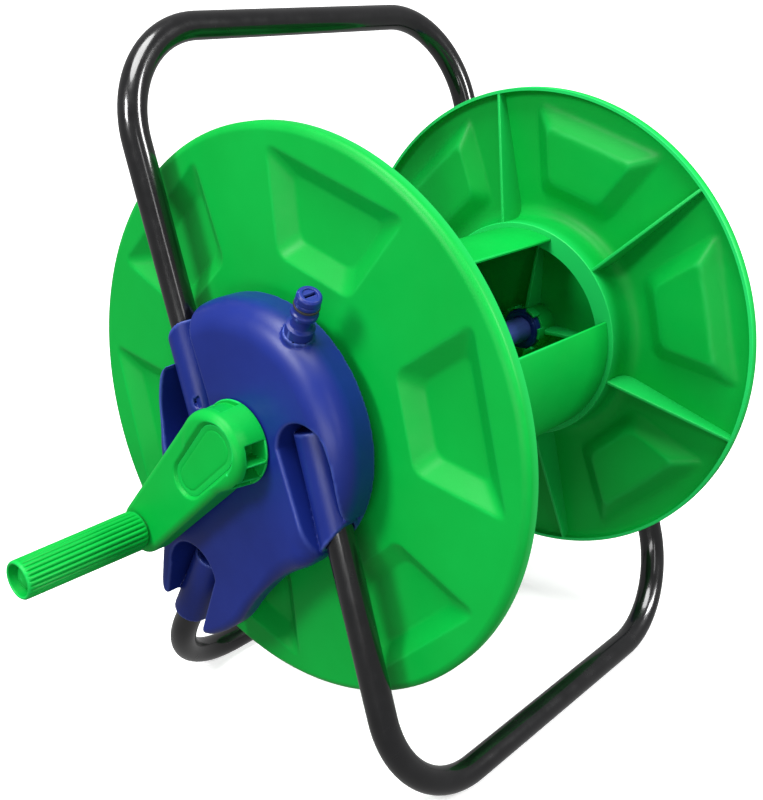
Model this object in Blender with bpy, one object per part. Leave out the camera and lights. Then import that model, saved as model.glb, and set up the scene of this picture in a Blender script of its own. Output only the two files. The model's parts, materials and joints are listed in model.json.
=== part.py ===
"""Portable hose reel on a stand of three bent steel tubes.

All working lengths are in millimetres, in the reel's own frame: X is the reel's axis with the crank at -X,
+Y is the rear, Z is up and the origin is the middle of the drum. place() scales a finished solid to metres
and hangs it on the empty that it moves with. Angles round the axis run from +Z towards -Y, in degrees.
"""

import math

import bmesh
import bpy
from mathutils import Matrix, Vector

MM = 0.001
GAP = 0.3
FIXED_FIT = 0.25

# Reel
FLANGE_RADIUS = 190.0
FLANGE_FACE = 148.0
FLANGE_WALL = 2.8
LIP_EDGE = 137.3
COLLAR_RADIUS = 88.0
COLLAR_END = 117.0
COLLAR_BORE = 73.0
HUB_RADIUS = 17.5
HUB_INNER = 126.5
HUB_OUTER = 147.2
HUB_MOUTH = 14.0
SPOKE_FOOT = 146.2
RECESS_DEPTH = 9.0
RECESS_INNER = 105.0
RECESS_OUTER = 168.0
RECESS_TURN = 16.0
SECTORS = 6
SECTOR_TURN = 360.0 / SECTORS
RIB_TURN = -13.0
RIB_THICKNESS = 2.6
RIB_FOOT = 87.0
SPOKE_TURN = 2.0
SPOKE_THICKNESS = 2.4
SPOKES = 4
SNAP_TABS = 3
DRUM_RADIUS = 84.0
DRUM_WALL = 2.8
DRUM_SEGMENTS = 48
WINDOW_START = 19.0
WINDOW_END = 74.0
FLANGE_SEGMENTS = 40
AXLE_SEGMENTS = 32

# Axle and water way
AXLE_RADIUS = 10.3
AXLE_BORE = 7.0
AXLE_CRANK_END = 206.0
AXLE_FAR_END = 187.5
BEARING_CLEARANCE = 0.06
BUSH_RADIUS = 14.2
CRANK_BUSH = (176.3, 190.4)
FAR_BUSH = (169.0, 184.4)
CROSS_HOLE_RADIUS = 3.2
MANIFOLD_INNER = 155.0
MANIFOLD_OUTER = 175.5
MANIFOLD_RADIUS = 19.0
SEAL_LENGTH = 3.5
STUB_RADIUS = 8.2
STEM_RADIUS = 7.6
INLET_ANGLE = 30.5
INLET_BASE = (-176.0, 86.0)
INLET_TILT = 0.19
OUTLET_X = -77.0
OUTLET_ANGLE = 46.5
NOSE_BORE = 4.2

# Stand
TUBE_RADIUS = 9.75
TUBE_WALL = 1.3
TUBE_SIDES = 12
LEG_X = 170.0
FAR_OFFSET = 4.5
BEND_RADIUS = 72.0
BEND_STEPS = 6
HANDLE_LEG = (42.0, -20.0)
HANDLE_BAR = (126.2, 239.1)
FRONT_LEG = (-50.5, 12.0)
FRONT_BAR = (-124.7, -238.1)
REAR_LEG = (52.2, -108.5)
REAR_BAR = (120.7, -238.1)

# Brackets, measured outwards from the middle of the drum
BRACKET_BACK = 158.0
BRACKET_FACE = 190.0
BRACKET_WALL = 3.0
POCKET_FLOOR = 161.5
DOME_RADIUS = 88.0
SLEEVE_RADIUS = 13.2
HANDLE_SLEEVE = 84.0
FRONT_SLEEVE = 82.0
REAR_SLEEVE = 59.0
FAR_BOSS_BACK = 169.5
FAR_BEARING_END = 184.8
POCKET_WALL = 2.6
SCREW_SETBACK = 30.0
SIGHT_HOLE = (44.9, 11.2)
SIGHT_HOLE_FLOOR = 164.5
SIGHT_HOLE_RADIUS = 3.5
SCREW_HOLE = 2.3
SCREW_CORE = 1.9
SCREW_HEAD = 3.9

# Crank and grip
CRANK_BACK = 190.9
CRANK_FACE = 214.5
CRANK_SEAT = 208.8
CRANK_FLAT = 8.0
CRANK_HUB_RADIUS = 24.5
CRANK_TIP_RADIUS = 18.0
CRANK_THROW = (74.5, -77.6)
HUB_SHIFT = (90.0, 3.0)
HUB_WINDOWS = ((73.0, 99.0), (102.0, 124.0), (127.0, 146.0), (149.0, 164.0))
HUB_POCKET = (-38.0, 17.0)
CAP_NEAR = -7.5
CAP_FAR = 30.5
CAP_ACROSS = -2.7
CAP_BIG = 17.0
CAP_SMALL = 14.0
GRIP_START = 215.6
GRIP_END = 307.0
GRIP_RADIUS = 14.0
SPINDLE_RADIUS = 5.0
SPINDLE_SEGMENTS = 24
SPINDLE_ROOT = 4.0
GRIP_HOLLOW = 8.0
GRIP_POINTS = 48

# The world frame's origin is the middle of the overall box, at the floor
REEL_X = (GRIP_END - BRACKET_FACE - FAR_OFFSET) / 2.0
AXLE_HEIGHT = -FRONT_BAR[1] + TUBE_RADIUS * math.cos(math.pi / TUBE_SIDES)

COLOURS = {
    "green_plastic": ((0.01, 0.45, 0.08, 1.0), 0.35, 0.0),
    "blue_plastic": ((0.02, 0.035, 0.23, 1.0), 0.4, 0.0),
    "black_paint": ((0.006, 0.006, 0.007, 1.0), 0.18, 0.0),
    "black_rubber": ((0.012, 0.012, 0.012, 1.0), 0.7, 0.0),
    "white_acetal": ((0.75, 0.75, 0.72, 1.0), 0.4, 0.0),
    "zinc_steel": ((0.55, 0.56, 0.58, 1.0), 0.3, 1.0),
}


# ---------------------------------------------------------------- outlines


def polar(angle, radius):
    """The (y, z) of a place round the reel's axis."""
    turn = math.radians(angle)
    return (-radius * math.sin(turn), radius * math.cos(turn))


def arc(centre, radius, start, end, steps):
    """Points (y, z) of an arc, its angles as in polar()."""
    points = []
    for k in range(steps + 1):
        y, z = polar(start + (end - start) * k / steps, radius)
        points.append((centre[0] + y, centre[1] + z))
    return points


def signed_area(outline):
    following = outline[1:] + outline[:1]
    return sum(a[0] * b[1] - b[0] * a[1] for a, b in zip(outline, following)) / 2.0


def grow(outline, distance):
    """Move every side of an outline outwards by a distance."""
    side = distance if signed_area(outline) > 0 else -distance
    grown = []
    count = len(outline)
    for k in range(count):
        here = Vector(outline[k])
        before = (here - Vector(outline[k - 1])).normalized()
        after = (Vector(outline[(k + 1) % count]) - here).normalized()
        normal_before = Vector((before.y, -before.x))
        normal_after = Vector((after.y, -after.x))
        bisector = (normal_before + normal_after).normalized()
        reach = side / max(0.35, bisector.dot(normal_after))
        grown.append(tuple(here + bisector * reach))
    return grown


def round_corners(outline, radius, steps):
    """Replace each corner of an outline by a short curve."""
    rounded = []
    count = len(outline)
    for k in range(count):
        corner = Vector(outline[k])
        back = (Vector(outline[k - 1]) - corner).normalized()
        ahead = (Vector(outline[(k + 1) % count]) - corner).normalized()
        start = corner + back * radius
        end = corner + ahead * radius
        for step in range(steps + 1):
            t = step / steps
            point = start * (1 - t) ** 2 + corner * 2 * t * (1 - t) + end * t**2
            rounded.append(tuple(point))
    return rounded


def turned(outline, angle):
    """Carry an outline of (radial, sideways) points to an angle round the axis."""
    turn = math.radians(angle)
    points = []
    for radial, sideways in outline:
        y = -radial * math.sin(turn) - sideways * math.cos(turn)
        z = radial * math.cos(turn) - sideways * math.sin(turn)
        points.append((y, z))
    return points


# ---------------------------------------------------------------- solids


def solid(bm):
    bmesh.ops.recalc_face_normals(bm, faces=bm.faces)
    mesh = bpy.data.meshes.new("work")
    bm.to_mesh(mesh)
    bm.free()
    piece = bpy.data.objects.new("work", mesh)
    bpy.context.scene.collection.objects.link(piece)
    return piece


def loft(sections):
    """A solid through outlines [(x, outline), ...] that have the same number of points."""
    bm = bmesh.new()
    rings = [[bm.verts.new((x, y, z)) for y, z in outline] for x, outline in sections]
    for ring, following in zip(rings, rings[1:]):
        for k in range(len(ring)):
            n = (k + 1) % len(ring)
            bm.faces.new((ring[k], ring[n], following[n], following[k]))
    bm.faces.new(rings[0])
    bm.faces.new(rings[-1])
    return solid(bm)


def prism(outline, x0, x1):
    return loft([(x0, outline), (x1, outline)])


def revolve(profile, segments, start=0.0, sweep=360.0):
    """A solid turned round the X axis from a closed profile of (x, r) points."""
    bm = bmesh.new()
    full = sweep >= 360.0
    stations = segments if full else segments + 1
    rings = []
    for x, r in profile:
        if r == 0:
            rings.append([bm.verts.new((x, 0.0, 0.0))])
            continue
        ring = []
        for k in range(stations):
            y, z = polar(start + sweep * k / segments, r)
            ring.append(bm.verts.new((x, y, z)))
        rings.append(ring)
    for ring, following in zip(rings, rings[1:] + rings[:1]):
        for k in range(segments):
            n = (k + 1) % stations
            corners = (
                ring[k % len(ring)],
                ring[n % len(ring)],
                following[n % len(following)],
                following[k % len(following)],
            )
            corners = tuple(dict.fromkeys(corners))
            if len(corners) > 2:
                bm.faces.new(corners)
    if not full:
        bm.faces.new([ring[0] for ring in rings])
        bm.faces.new([ring[-1] for ring in rings])
    return solid(bm)


def aim(piece, origin, direction):
    """Carry a solid made along +X so that it starts at origin and runs along direction."""
    turn = Vector((1, 0, 0)).rotation_difference(Vector(direction).normalized())
    piece.data.transform(Matrix.Translation(origin) @ turn.to_matrix().to_4x4())
    return piece


def rod(start, end, radius, sides):
    run = Vector(end) - Vector(start)
    profile = [(0, 0), (0, radius), (run.length, radius), (run.length, 0)]
    return aim(revolve(profile, sides), start, run)


def box(low, high):
    corners = [(low[1], low[2]), (high[1], low[2]), (high[1], high[2]), (low[1], high[2])]
    return prism(corners, low[0], high[0])


def combine(target, tool, operation):
    """Apply a Boolean to the target and use the tool up."""
    modifier = target.modifiers.new(operation.lower(), "BOOLEAN")
    modifier.operation = operation
    modifier.solver = "EXACT"
    modifier.object = tool
    scene_state = bpy.context.evaluated_depsgraph_get()
    mesh = bpy.data.meshes.new_from_object(target.evaluated_get(scene_state))
    target.modifiers.clear()
    spent = target.data
    target.data = mesh
    bpy.data.meshes.remove(spent)
    bpy.data.objects.remove(tool)
    return target


def unite(target, *tools):
    for tool in tools:
        combine(target, tool, "UNION")
    return target


def cut(target, *tools):
    for tool in tools:
        combine(target, tool, "DIFFERENCE")
    return target


def mirrored(piece, side, offset=0.0):
    """The crank side's solids are made at -X; side +1 carries them over to the far side."""
    if side > 0:
        piece.data.transform(Matrix.Translation((offset, 0, 0)) @ Matrix.Scale(-1.0, 4, (1, 0, 0)))
        piece.data.flip_normals()
    return piece


# ---------------------------------------------------------------- placing


def make_material(name):
    colour, roughness, metallic = COLOURS[name]
    material = bpy.data.materials.new(name)
    material.use_nodes = True
    shader = material.node_tree.nodes["Principled BSDF"]
    shader.inputs["Base Color"].default_value = colour
    shader.inputs["Roughness"].default_value = roughness
    shader.inputs["Metallic"].default_value = metallic
    material.diffuse_color = colour
    return material


def axis_empty(name, centre):
    """An empty on a joint's axis, centre in the reel's frame."""
    empty = bpy.data.objects.new(name, None)
    bpy.context.scene.collection.objects.link(empty)
    empty.location = ((centre[0] + REEL_X) * MM, centre[1] * MM, (centre[2] + AXLE_HEIGHT) * MM)
    empty["centre"] = centre
    return empty


def merge_flat_faces(mesh):
    """Join the coplanar faces that the Booleans leave split."""
    bm = bmesh.new()
    bm.from_mesh(mesh)
    bmesh.ops.remove_doubles(bm, verts=bm.verts, dist=0.001)
    bmesh.ops.dissolve_limit(bm, angle_limit=math.radians(0.05), verts=bm.verts, edges=bm.edges)
    bmesh.ops.triangulate(bm, faces=[face for face in bm.faces if len(face.verts) > 4])
    bm.to_mesh(mesh)
    bm.free()


def place(piece, name, material, empty):
    """Name a finished solid, scale it to metres and hang it on its empty."""
    merge_flat_faces(piece.data)
    centre = Vector(empty["centre"])
    piece.name = name
    piece.data.name = name
    piece.data.transform(Matrix.Scale(MM, 4) @ Matrix.Translation(-centre))
    piece.parent = empty
    own = material.copy()
    own.name = name + "_finish"
    piece.data.materials.clear()
    piece.data.materials.append(own)
    piece.data.shade_smooth()
    piece.data.set_sharp_from_angle(angle=math.radians(32))
    return piece


# ---------------------------------------------------------------- stand


def u_tube(leg, bar):
    """A tube bent into a U: two legs from leg (y, z) to the cross bar at bar (y, z)."""
    start = Vector((0.0, leg[0], leg[1]))
    reach = Vector((0.0, bar[0], bar[1])) - start
    out = reach.normalized()
    length = reach.length
    path = [(-LEG_X, 0.0)]
    for k in range(BEND_STEPS + 1):
        turn = math.radians(90.0 * k / BEND_STEPS)
        across = -LEG_X + BEND_RADIUS * (1 - math.cos(turn))
        path.append((across, length - BEND_RADIUS * (1 - math.sin(turn))))
    path += [(FAR_OFFSET - across, along) for across, along in reversed(path)]
    side = Vector((1, 0, 0)).cross(out)
    down = Vector((0, 0, -1))
    down_angle = math.atan2(down.dot(side), down.dot(out))
    bm = bmesh.new()
    rings = []
    for k, (across, along) in enumerate(path):
        before = Vector(path[max(k - 1, 0)])
        after = Vector(path[min(k + 1, len(path) - 1)])
        step = (after - before).normalized()
        tangent = Vector((1, 0, 0)) * step.x + out * step.y
        inward = side.cross(tangent)
        centre = start + Vector((1, 0, 0)) * across + out * along
        for radius in (TUBE_RADIUS, TUBE_RADIUS - TUBE_WALL):
            ring = []
            for n in range(TUBE_SIDES):
                turn = down_angle + (n + 0.5) * 2 * math.pi / TUBE_SIDES
                spoke = inward * math.cos(turn) + side * math.sin(turn)
                ring.append(bm.verts.new(centre + spoke * radius))
            rings.append(ring)
    loops = rings[0::2] + rings[1::2][::-1]
    for ring, following in zip(loops, loops[1:] + loops[:1]):
        for n in range(TUBE_SIDES):
            m = (n + 1) % TUBE_SIDES
            bm.faces.new((ring[n], ring[m], following[m], following[n]))
    tube = solid(bm)
    y, z = screw_place(leg, bar)
    for side_x in (-1, 1):
        hole = rod((-LEG_X + 1.0, y, z), (-LEG_X + 14.0, y, z), SCREW_HOLE, 10)
        cut(tube, mirrored(hole, side_x, FAR_OFFSET))
    return tube


def screw_place(leg, bar):
    """Where a tube's screws go: SCREW_SETBACK up the leg from its end."""
    run = Vector((bar[0] - leg[0], bar[1] - leg[1])).normalized() * SCREW_SETBACK
    return (leg[0] + run.x, leg[1] + run.y)


def tube_screw(leg, bar, side):
    """Pan head screw along X, from the bracket's open back into its tube."""
    y, z = screw_place(leg, bar)
    seat = -BRACKET_BACK
    profile = [
        (seat + 2.2, 0), (seat + 1.6, 3.2), (seat + GAP, SCREW_HEAD), (seat + GAP, SCREW_CORE),
        (-LEG_X + 3.2, SCREW_CORE), (-LEG_X + 1.6, 0),
    ]
    screw = revolve(profile, 12)
    cut(screw, box((seat + 1.2, -2.6, -0.45), (seat + 3.0, 2.6, 0.45)))
    screw.data.transform(Matrix.Translation((0, y, z)))
    return mirrored(screw, side, FAR_OFFSET)


def build_stand(stand, materials):
    tubes = {
        "handle_tube": (HANDLE_LEG, HANDLE_BAR),
        "front_foot_tube": (FRONT_LEG, FRONT_BAR),
        "rear_foot_tube": (REAR_LEG, REAR_BAR),
    }
    for name, (leg, bar) in tubes.items():
        place(u_tube(leg, bar), name, materials["black_paint"], stand)
        for side, word in ((-1, "crank_side"), (1, "far_side")):
            screw = tube_screw(leg, bar, side)
            screw_name = name.replace("_tube", "_screw_") + word
            place(screw, screw_name, materials["zinc_steel"], stand)
    place(bracket(-1), "crank_side_bracket", materials["blue_plastic"], stand)
    place(bracket(1), "far_side_bracket", materials["blue_plastic"], stand)
    place(bush(-1, *CRANK_BUSH), "crank_side_bush", materials["white_acetal"], stand)
    place(bush(1, *FAR_BUSH), "far_side_bush", materials["white_acetal"], stand)


def axle_bore():
    """Corner radius of a bore whose flats clear the turning axle."""
    return (AXLE_RADIUS + BEARING_CLEARANCE / 2) / math.cos(math.pi / AXLE_SEGMENTS)


def bush(side, inner, outer):
    bore = axle_bore()
    profile = [(-outer, bore), (-inner, bore), (-inner, BUSH_RADIUS), (-outer, BUSH_RADIUS)]
    return mirrored(revolve(profile, AXLE_SEGMENTS), side, FAR_OFFSET)


def front_pocket():
    """Opening in the bracket's face round the front foot's socket, (y, z)."""
    rim = [(-77.8, -41.0), (-79.2, -23.6), (-79.2, -14.6), (-78.6, -4.6), (-76.8, 5.4), (-74.0, 13.6)]
    crown = arc((-57.4, 4.2), 20.6, 40.0, -90.0, 8)
    return [(-83.0, -62.0)] + rim + crown + [(-60.0, -58.0), (-71.0, -86.0)]


def handle_pocket():
    """Opening behind the chord on the bracket's face, round the handle's socket."""
    rim = arc((0, 0), DOME_RADIUS - 10.5, -66.0, -112.0, 5)
    chord = [(27.0, -30.0), (24.5, 20.0), (39.8, 67.6)]
    return chord + [(46.0, 84.0), (90.0, 84.0), (90.0, 33.0)] + rim


def rear_pocket():
    """Opening in the bracket's tail round the rear foot's socket."""
    crown = arc((52.5, -115.0), 23.6, -90.0, 80.0, 8)
    return [(108.0, -144.0), (82.0, -141.0)] + crown + [(46.5, -157.0), (62.0, -190.0)]


def tail_outline():
    """Outline of the bracket's face from the dome down to the rear foot's socket."""
    return [
        (76.0, -20.0), (79.0, -98.0), (82.5, -117.0), (86.0, -141.0), (66.0, -150.0),
        (46.0, -157.5), (27.0, -146.0), (14.0, -134.5), (-1.0, -113.0), (-17.0, -94.5),
        (-36.0, -76.5), (-53.5, -66.0), (-30.0, 0.0), (30.0, 0.0),
    ]


def dome(radius, back, face):
    shoulder = radius - 20.0
    profile = [
        (-face, 0), (-face, shoulder), (-face + 2.5, shoulder + 7.0),
        (-face + 7.0, shoulder + 13.5), (-face + 13.0, shoulder + 18.0),
        (-face + 20.0, radius), (-back, radius), (-back, 0),
    ]
    return revolve(profile, 36)


def tail(inset, back, face):
    outline = tail_outline()
    return loft([
        (-face, grow(outline, -1.5 - inset)), (-face + 3.0, grow(outline, 2.0 - inset)),
        (-face + 10.0, grow(outline, 4.5 - inset)), (-back, grow(outline, 5.5 - inset)),
    ])


def socket(leg, bar, reach, extra_radius=0.0, lead=0.0):
    """Rod round a leg's end, as long as reach, on the crank side."""
    start = Vector((-LEG_X, leg[0], leg[1]))
    run = Vector((0, bar[0] - leg[0], bar[1] - leg[1])).normalized()
    return rod(start - run * lead, start + run * reach, SLEEVE_RADIUS + extra_radius, 16)


def bracket(side):
    """Moulding that holds the three tubes and the axle's bearing; open at the back."""
    sockets = (
        (HANDLE_LEG, HANDLE_BAR, HANDLE_SLEEVE),
        (FRONT_LEG, FRONT_BAR, FRONT_SLEEVE),
        (REAR_LEG, REAR_BAR, REAR_SLEEVE),
    )
    back = BRACKET_BACK - 3.0
    body = unite(dome(DOME_RADIUS, back, BRACKET_FACE), tail(0.0, back, BRACKET_FACE))
    pockets = (front_pocket(), handle_pocket(), rear_pocket())
    hollow = unite(
        dome(DOME_RADIUS - BRACKET_WALL, back - 2.0, BRACKET_FACE - BRACKET_WALL),
        tail(BRACKET_WALL, back - 2.5, BRACKET_FACE - BRACKET_WALL),
    )
    for pocket in pockets:
        cut(hollow, prism(grow(pocket, POCKET_WALL), -BRACKET_FACE - 4, -back + 6.0))
    boss = BUSH_RADIUS + 4.0
    boss_back = FAR_BOSS_BACK if side > 0 else MANIFOLD_OUTER + 1.2
    cut(hollow, rod((-BRACKET_FACE - 3, 0, 0), (-boss_back, 0, 0), boss, 32))
    cut(body, hollow)
    for pocket in pockets:
        cut(body, prism(pocket, -BRACKET_FACE - 5, -POCKET_FLOOR))
    for leg, bar, reach in sockets:
        sleeve = socket(leg, bar, reach, lead=3.0)
        if leg is not REAR_LEG:
            combine(sleeve, rod((-BRACKET_FACE, 0, 0), (-150, 0, 0), DOME_RADIUS - 0.8, 36), "INTERSECT")
        unite(body, sleeve)
    cut(body, box((-BRACKET_BACK, -300, -300), (-BRACKET_BACK + 30, 300, 300)))
    for leg, bar, reach in sockets:
        tube_bore = TUBE_RADIUS + GAP + 0.1 - SLEEVE_RADIUS
        cut(body, socket(leg, bar, reach + 60.0, tube_bore, lead=GAP))
        y, z = screw_place(leg, bar)
        cut(body, rod((-LEG_X + 5.0, y, z), (-LEG_X + 30.0, y, z), SCREW_HOLE, 10))
    y, z = SIGHT_HOLE
    cut(body, rod((-BRACKET_FACE - 5, y, z), (-SIGHT_HOLE_FLOOR, y, z), SIGHT_HOLE_RADIUS, 16))
    bearing_far = FAR_BEARING_END if side > 0 else BRACKET_FACE + 5
    cut(body, rod((-bearing_far, 0, 0), (-150, 0, 0), BUSH_RADIUS + 0.2, 40))
    if side < 0:
        origin, direction = inlet_axis()
        hole = [(-19, 0), (-19, STEM_RADIUS + GAP), (5, STEM_RADIUS + GAP), (5, 0)]
        cut(body, aim(revolve(hole, 24), origin, direction))
    return mirrored(body, side, FAR_OFFSET)


# ---------------------------------------------------------------- water way


def inlet_axis():
    """Origin and direction of the inlet's axis, where its collar meets the bracket's shoulder."""
    y, z = polar(INLET_ANGLE, INLET_BASE[1])
    out_y, out_z = polar(INLET_ANGLE, 1.0)
    return Vector((INLET_BASE[0], y, z)), Vector((-INLET_TILT, out_y, out_z)).normalized()


def inlet_nipple():
    """Male quick connector: threaded stem, collar, ridged nose and through bore."""
    profile = [
        (-20.0, NOSE_BORE), (-20.0, STEM_RADIUS), (2.0, STEM_RADIUS), (2.0, 8.9), (8.8, 8.9),
        (9.6, 6.6), (14.0, 6.1), (17.5, 6.5), (18.5, 8.4), (20.5, 8.4), (21.5, 7.2), (24.2, 7.2),
        (24.2, 6.2), (26.6, 6.2), (26.6, 7.7), (33.5, 7.5), (34.5, 6.6), (34.5, NOSE_BORE),
    ]
    return aim(revolve(profile, 16), *inlet_axis())


def inlet_oring():
    ring = [(24.5, 6.5), (24.5, 7.8), (25.4, 8.2), (26.3, 7.8), (26.3, 6.5)]
    return aim(revolve(ring, 24), *inlet_axis())


def water_manifold():
    """Fixed ring round the axle with the stub that takes the inlet's stem."""
    bore = AXLE_RADIUS + 3.2
    ring = revolve([
        (-MANIFOLD_OUTER, bore), (-MANIFOLD_INNER, bore),
        (-MANIFOLD_INNER, MANIFOLD_RADIUS), (-MANIFOLD_OUTER, MANIFOLD_RADIUS),
    ], AXLE_SEGMENTS)
    origin, direction = inlet_axis()
    stub_foot = origin - direction * 71.0
    stub_end = origin - direction * 20.5
    unite(ring, rod(stub_foot, stub_end, STUB_RADIUS, 20))
    cut(ring, rod(origin - direction * 78.0, origin, 4.6, 16))
    return ring


def manifold_seal(inner, outer):
    bore = axle_bore()
    wall = AXLE_RADIUS + 3.0
    return revolve([(-outer, bore), (-inner, bore), (-inner, wall), (-outer, wall)], AXLE_SEGMENTS)


def axle_tube():
    """Hollow axle: fed through the manifold's holes, open to the outlet inside the drum."""
    outer = rod((-AXLE_CRANK_END, 0, 0), (AXLE_FAR_END, 0, 0), AXLE_RADIUS, AXLE_SEGMENTS)
    bore = rod((-188.0, 0, 0), (AXLE_FAR_END - 4, 0, 0), AXLE_BORE, 20)
    water = (MANIFOLD_INNER + MANIFOLD_OUTER) / 2
    y, z = polar(OUTLET_ANGLE, 20.0)
    unite(bore, rod((-water, 0, -20), (-water, 0, 20), CROSS_HOLE_RADIUS, 12))
    unite(bore, rod((OUTLET_X, 0, 0), (OUTLET_X, y, z), 4.0, 12))
    cut(outer, bore)
    for side in (-1, 1):
        low = min(side * CRANK_FLAT, side * (CRANK_FLAT + 22.0))
        cut(outer, box((-AXLE_CRANK_END - 1, low, -20), (-CRANK_BACK + 0.4, low + 22.0, 20)))
    cut(outer, rod((-AXLE_CRANK_END - 1, 0, 0), (-192.0, 0, 0), 2.2, 10))
    return outer


def axle_end_disc():
    """Shouldered disc on the axle that the far hub's fingers hold."""
    bore = AXLE_RADIUS + FIXED_FIT
    profile = [(120.4, bore), (126.2, bore), (126.2, 16.4), (121.4, 16.4), (120.4, 15.6)]
    return revolve(profile, AXLE_SEGMENTS)


def outlet_axis():
    y, z = polar(OUTLET_ANGLE, 1.0)
    return Vector((OUTLET_X, 0, 0)), Vector((0, y, z))


def outlet_tee():
    """Ring on the axle with the radial stub that feeds the hose."""
    bore = AXLE_RADIUS + FIXED_FIT
    ring = revolve([
        (OUTLET_X - 14, bore), (OUTLET_X + 14, bore), (OUTLET_X + 14, 15.8), (OUTLET_X - 14, 15.8),
    ], 32)
    origin, direction = outlet_axis()
    unite(ring, rod(origin + direction * 12.5, origin + direction * 40.0, 8.4, 20))
    cut(ring, rod(origin + direction * 2.0, origin + direction * 45.0, 4.4, 16))
    return ring


def outlet_nipple():
    profile = [
        (40.4, NOSE_BORE), (40.4, 9.6), (45.0, 9.6), (45.6, 7.2), (52.5, 6.8), (54.0, 8.9), (56.0, 8.9),
        (57.0, 7.4), (59.5, 7.4), (59.5, 6.4), (61.9, 6.4), (61.9, 7.9), (68.4, 7.6),
        (69.4, 6.6), (69.4, NOSE_BORE),
    ]
    return aim(revolve(profile, 16), *outlet_axis())


def outlet_oring():
    ring = [(59.8, 6.7), (59.8, 8.1), (60.7, 8.6), (61.6, 8.1), (61.6, 6.7)]
    return aim(revolve(ring, 20), *outlet_axis())


# ---------------------------------------------------------------- reel


def recess_outline(growth, corner_radius):
    """Outline of a pressed recess grown from its mouth, (radial, sideways)."""
    corners = [(RECESS_INNER, -31.0), (RECESS_OUTER, -57.0), (RECESS_OUTER, 57.0), (RECESS_INNER, 31.0)]
    return round_corners(grow(corners, growth), corner_radius, 1)


def flange(side):
    """One-piece flange: lip, pressed disc, ribs, collar and ribbed hub."""
    face = FLANGE_FACE
    disc = face - FLANGE_WALL
    profile = [
        (-LIP_EDGE, FLANGE_RADIUS - 2.6), (-LIP_EDGE, FLANGE_RADIUS), (-face + 4.4, FLANGE_RADIUS),
        (-face, FLANGE_RADIUS - 4.6), (-face, HUB_MOUTH), (-disc, HUB_MOUTH), (-disc, 85.2),
        (-COLLAR_END - 2.9, 84.9),
        (-COLLAR_END - 2.9, COLLAR_BORE), (-COLLAR_END, COLLAR_BORE),
        (-COLLAR_END, COLLAR_RADIUS), (-face + 12.0, COLLAR_RADIUS + 0.6), (-disc, 98.0),
        (-disc, FLANGE_RADIUS - 4.6), (-disc + 1.6, FLANGE_RADIUS - 2.7),
    ]
    body = revolve(profile, FLANGE_SEGMENTS)
    for k in range(SECTORS):
        angle = RECESS_TURN + SECTOR_TURN * k
        plateau = loft([
            (-disc - 1.0, turned(recess_outline(2.2, 15.0), angle)),
            (-face + RECESS_DEPTH + FLANGE_WALL, turned(recess_outline(-13.4, 8.5), angle)),
        ])
        unite(body, plateau)
    for k in range(SECTORS):
        angle = RECESS_TURN + SECTOR_TURN * k
        press = loft([
            (-face - 1.5, turned(recess_outline(2.3, 15.0), angle)),
            (-face + RECESS_DEPTH, turned(recess_outline(-14.0, 8.0), angle)),
        ])
        cut(body, press)
    for k in range(SECTORS):
        unite(body, flange_rib(RIB_TURN + SECTOR_TURN * k))
    hub = revolve([
        (-HUB_OUTER, AXLE_RADIUS + FIXED_FIT), (-HUB_INNER, AXLE_RADIUS + FIXED_FIT),
        (-HUB_INNER, HUB_RADIUS), (-HUB_OUTER, HUB_RADIUS),
    ], 24)
    for k in range(SECTORS):
        start = SPOKE_TURN + SECTOR_TURN * k + 16.0
        finger = [(-128.0, 16.9), (-119.2, 16.9), (-119.2, 19.4), (-128.0, 19.4)]
        unite(hub, revolve(finger, 2, start, 28.0))
    for k in range(SPOKES):
        unite(hub, hub_spoke(SPOKE_TURN + 360.0 / SPOKES * k))
    unite(body, hub)
    for k in range(SNAP_TABS):
        start = 140.0 + 75.0 * k
        tab = [(-118.5, 77.4), (-111.0, 77.4), (-111.0, 80.8), (-118.5, 80.8)]
        unite(body, revolve(tab, 3, start, 20.0))
    return mirrored(body, side)


def radial_plate(profile, thickness, angle):
    """Plate in the plane of the axis from a profile of (x, r) points."""
    bm = bmesh.new()
    half = thickness / 2.0
    rings = []
    for sideways in (-half, half):
        ring = []
        for x, r in profile:
            ((y, z),) = turned([(r, sideways)], angle)
            ring.append(bm.verts.new((x, y, z)))
        rings.append(ring)
    for k in range(len(profile)):
        n = (k + 1) % len(profile)
        bm.faces.new((rings[0][k], rings[0][n], rings[1][n], rings[1][k]))
    bm.faces.new(rings[0])
    bm.faces.new(rings[1])
    return solid(bm)


def flange_rib(angle):
    disc = FLANGE_FACE - FLANGE_WALL
    profile = [
        (-disc - 1.0, RIB_FOOT), (-COLLAR_END - 1.0, RIB_FOOT), (-COLLAR_END - 1.0, RIB_FOOT + 2.0),
        (-LIP_EDGE - 0.3, FLANGE_RADIUS - 1.6), (-disc - 1.0, FLANGE_RADIUS - 1.6),
    ]
    return radial_plate(profile, RIB_THICKNESS, angle)


def hub_spoke(angle):
    profile = [
        (-SPOKE_FOOT, 15.0), (-HUB_INNER, 15.0), (-141.0, RIB_FOOT - 1.0), (-SPOKE_FOOT, RIB_FOOT - 1.0),
    ]
    return radial_plate(profile, SPOKE_THICKNESS, angle)


def drum_shell():
    """Winding drum with the window that the hose end passes through."""
    end = COLLAR_END - GAP
    inner = DRUM_RADIUS - DRUM_WALL
    profile = [(-end, inner), (end, inner), (end, DRUM_RADIUS), (-end, DRUM_RADIUS)]
    return revolve(profile, DRUM_SEGMENTS, WINDOW_END, 360.0 - WINDOW_END + WINDOW_START)


# ---------------------------------------------------------------- crank


def crank_axes():
    throw = Vector(CRANK_THROW)
    along = throw.normalized()
    return throw.length, along, Vector((-along.y, along.x))


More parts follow.
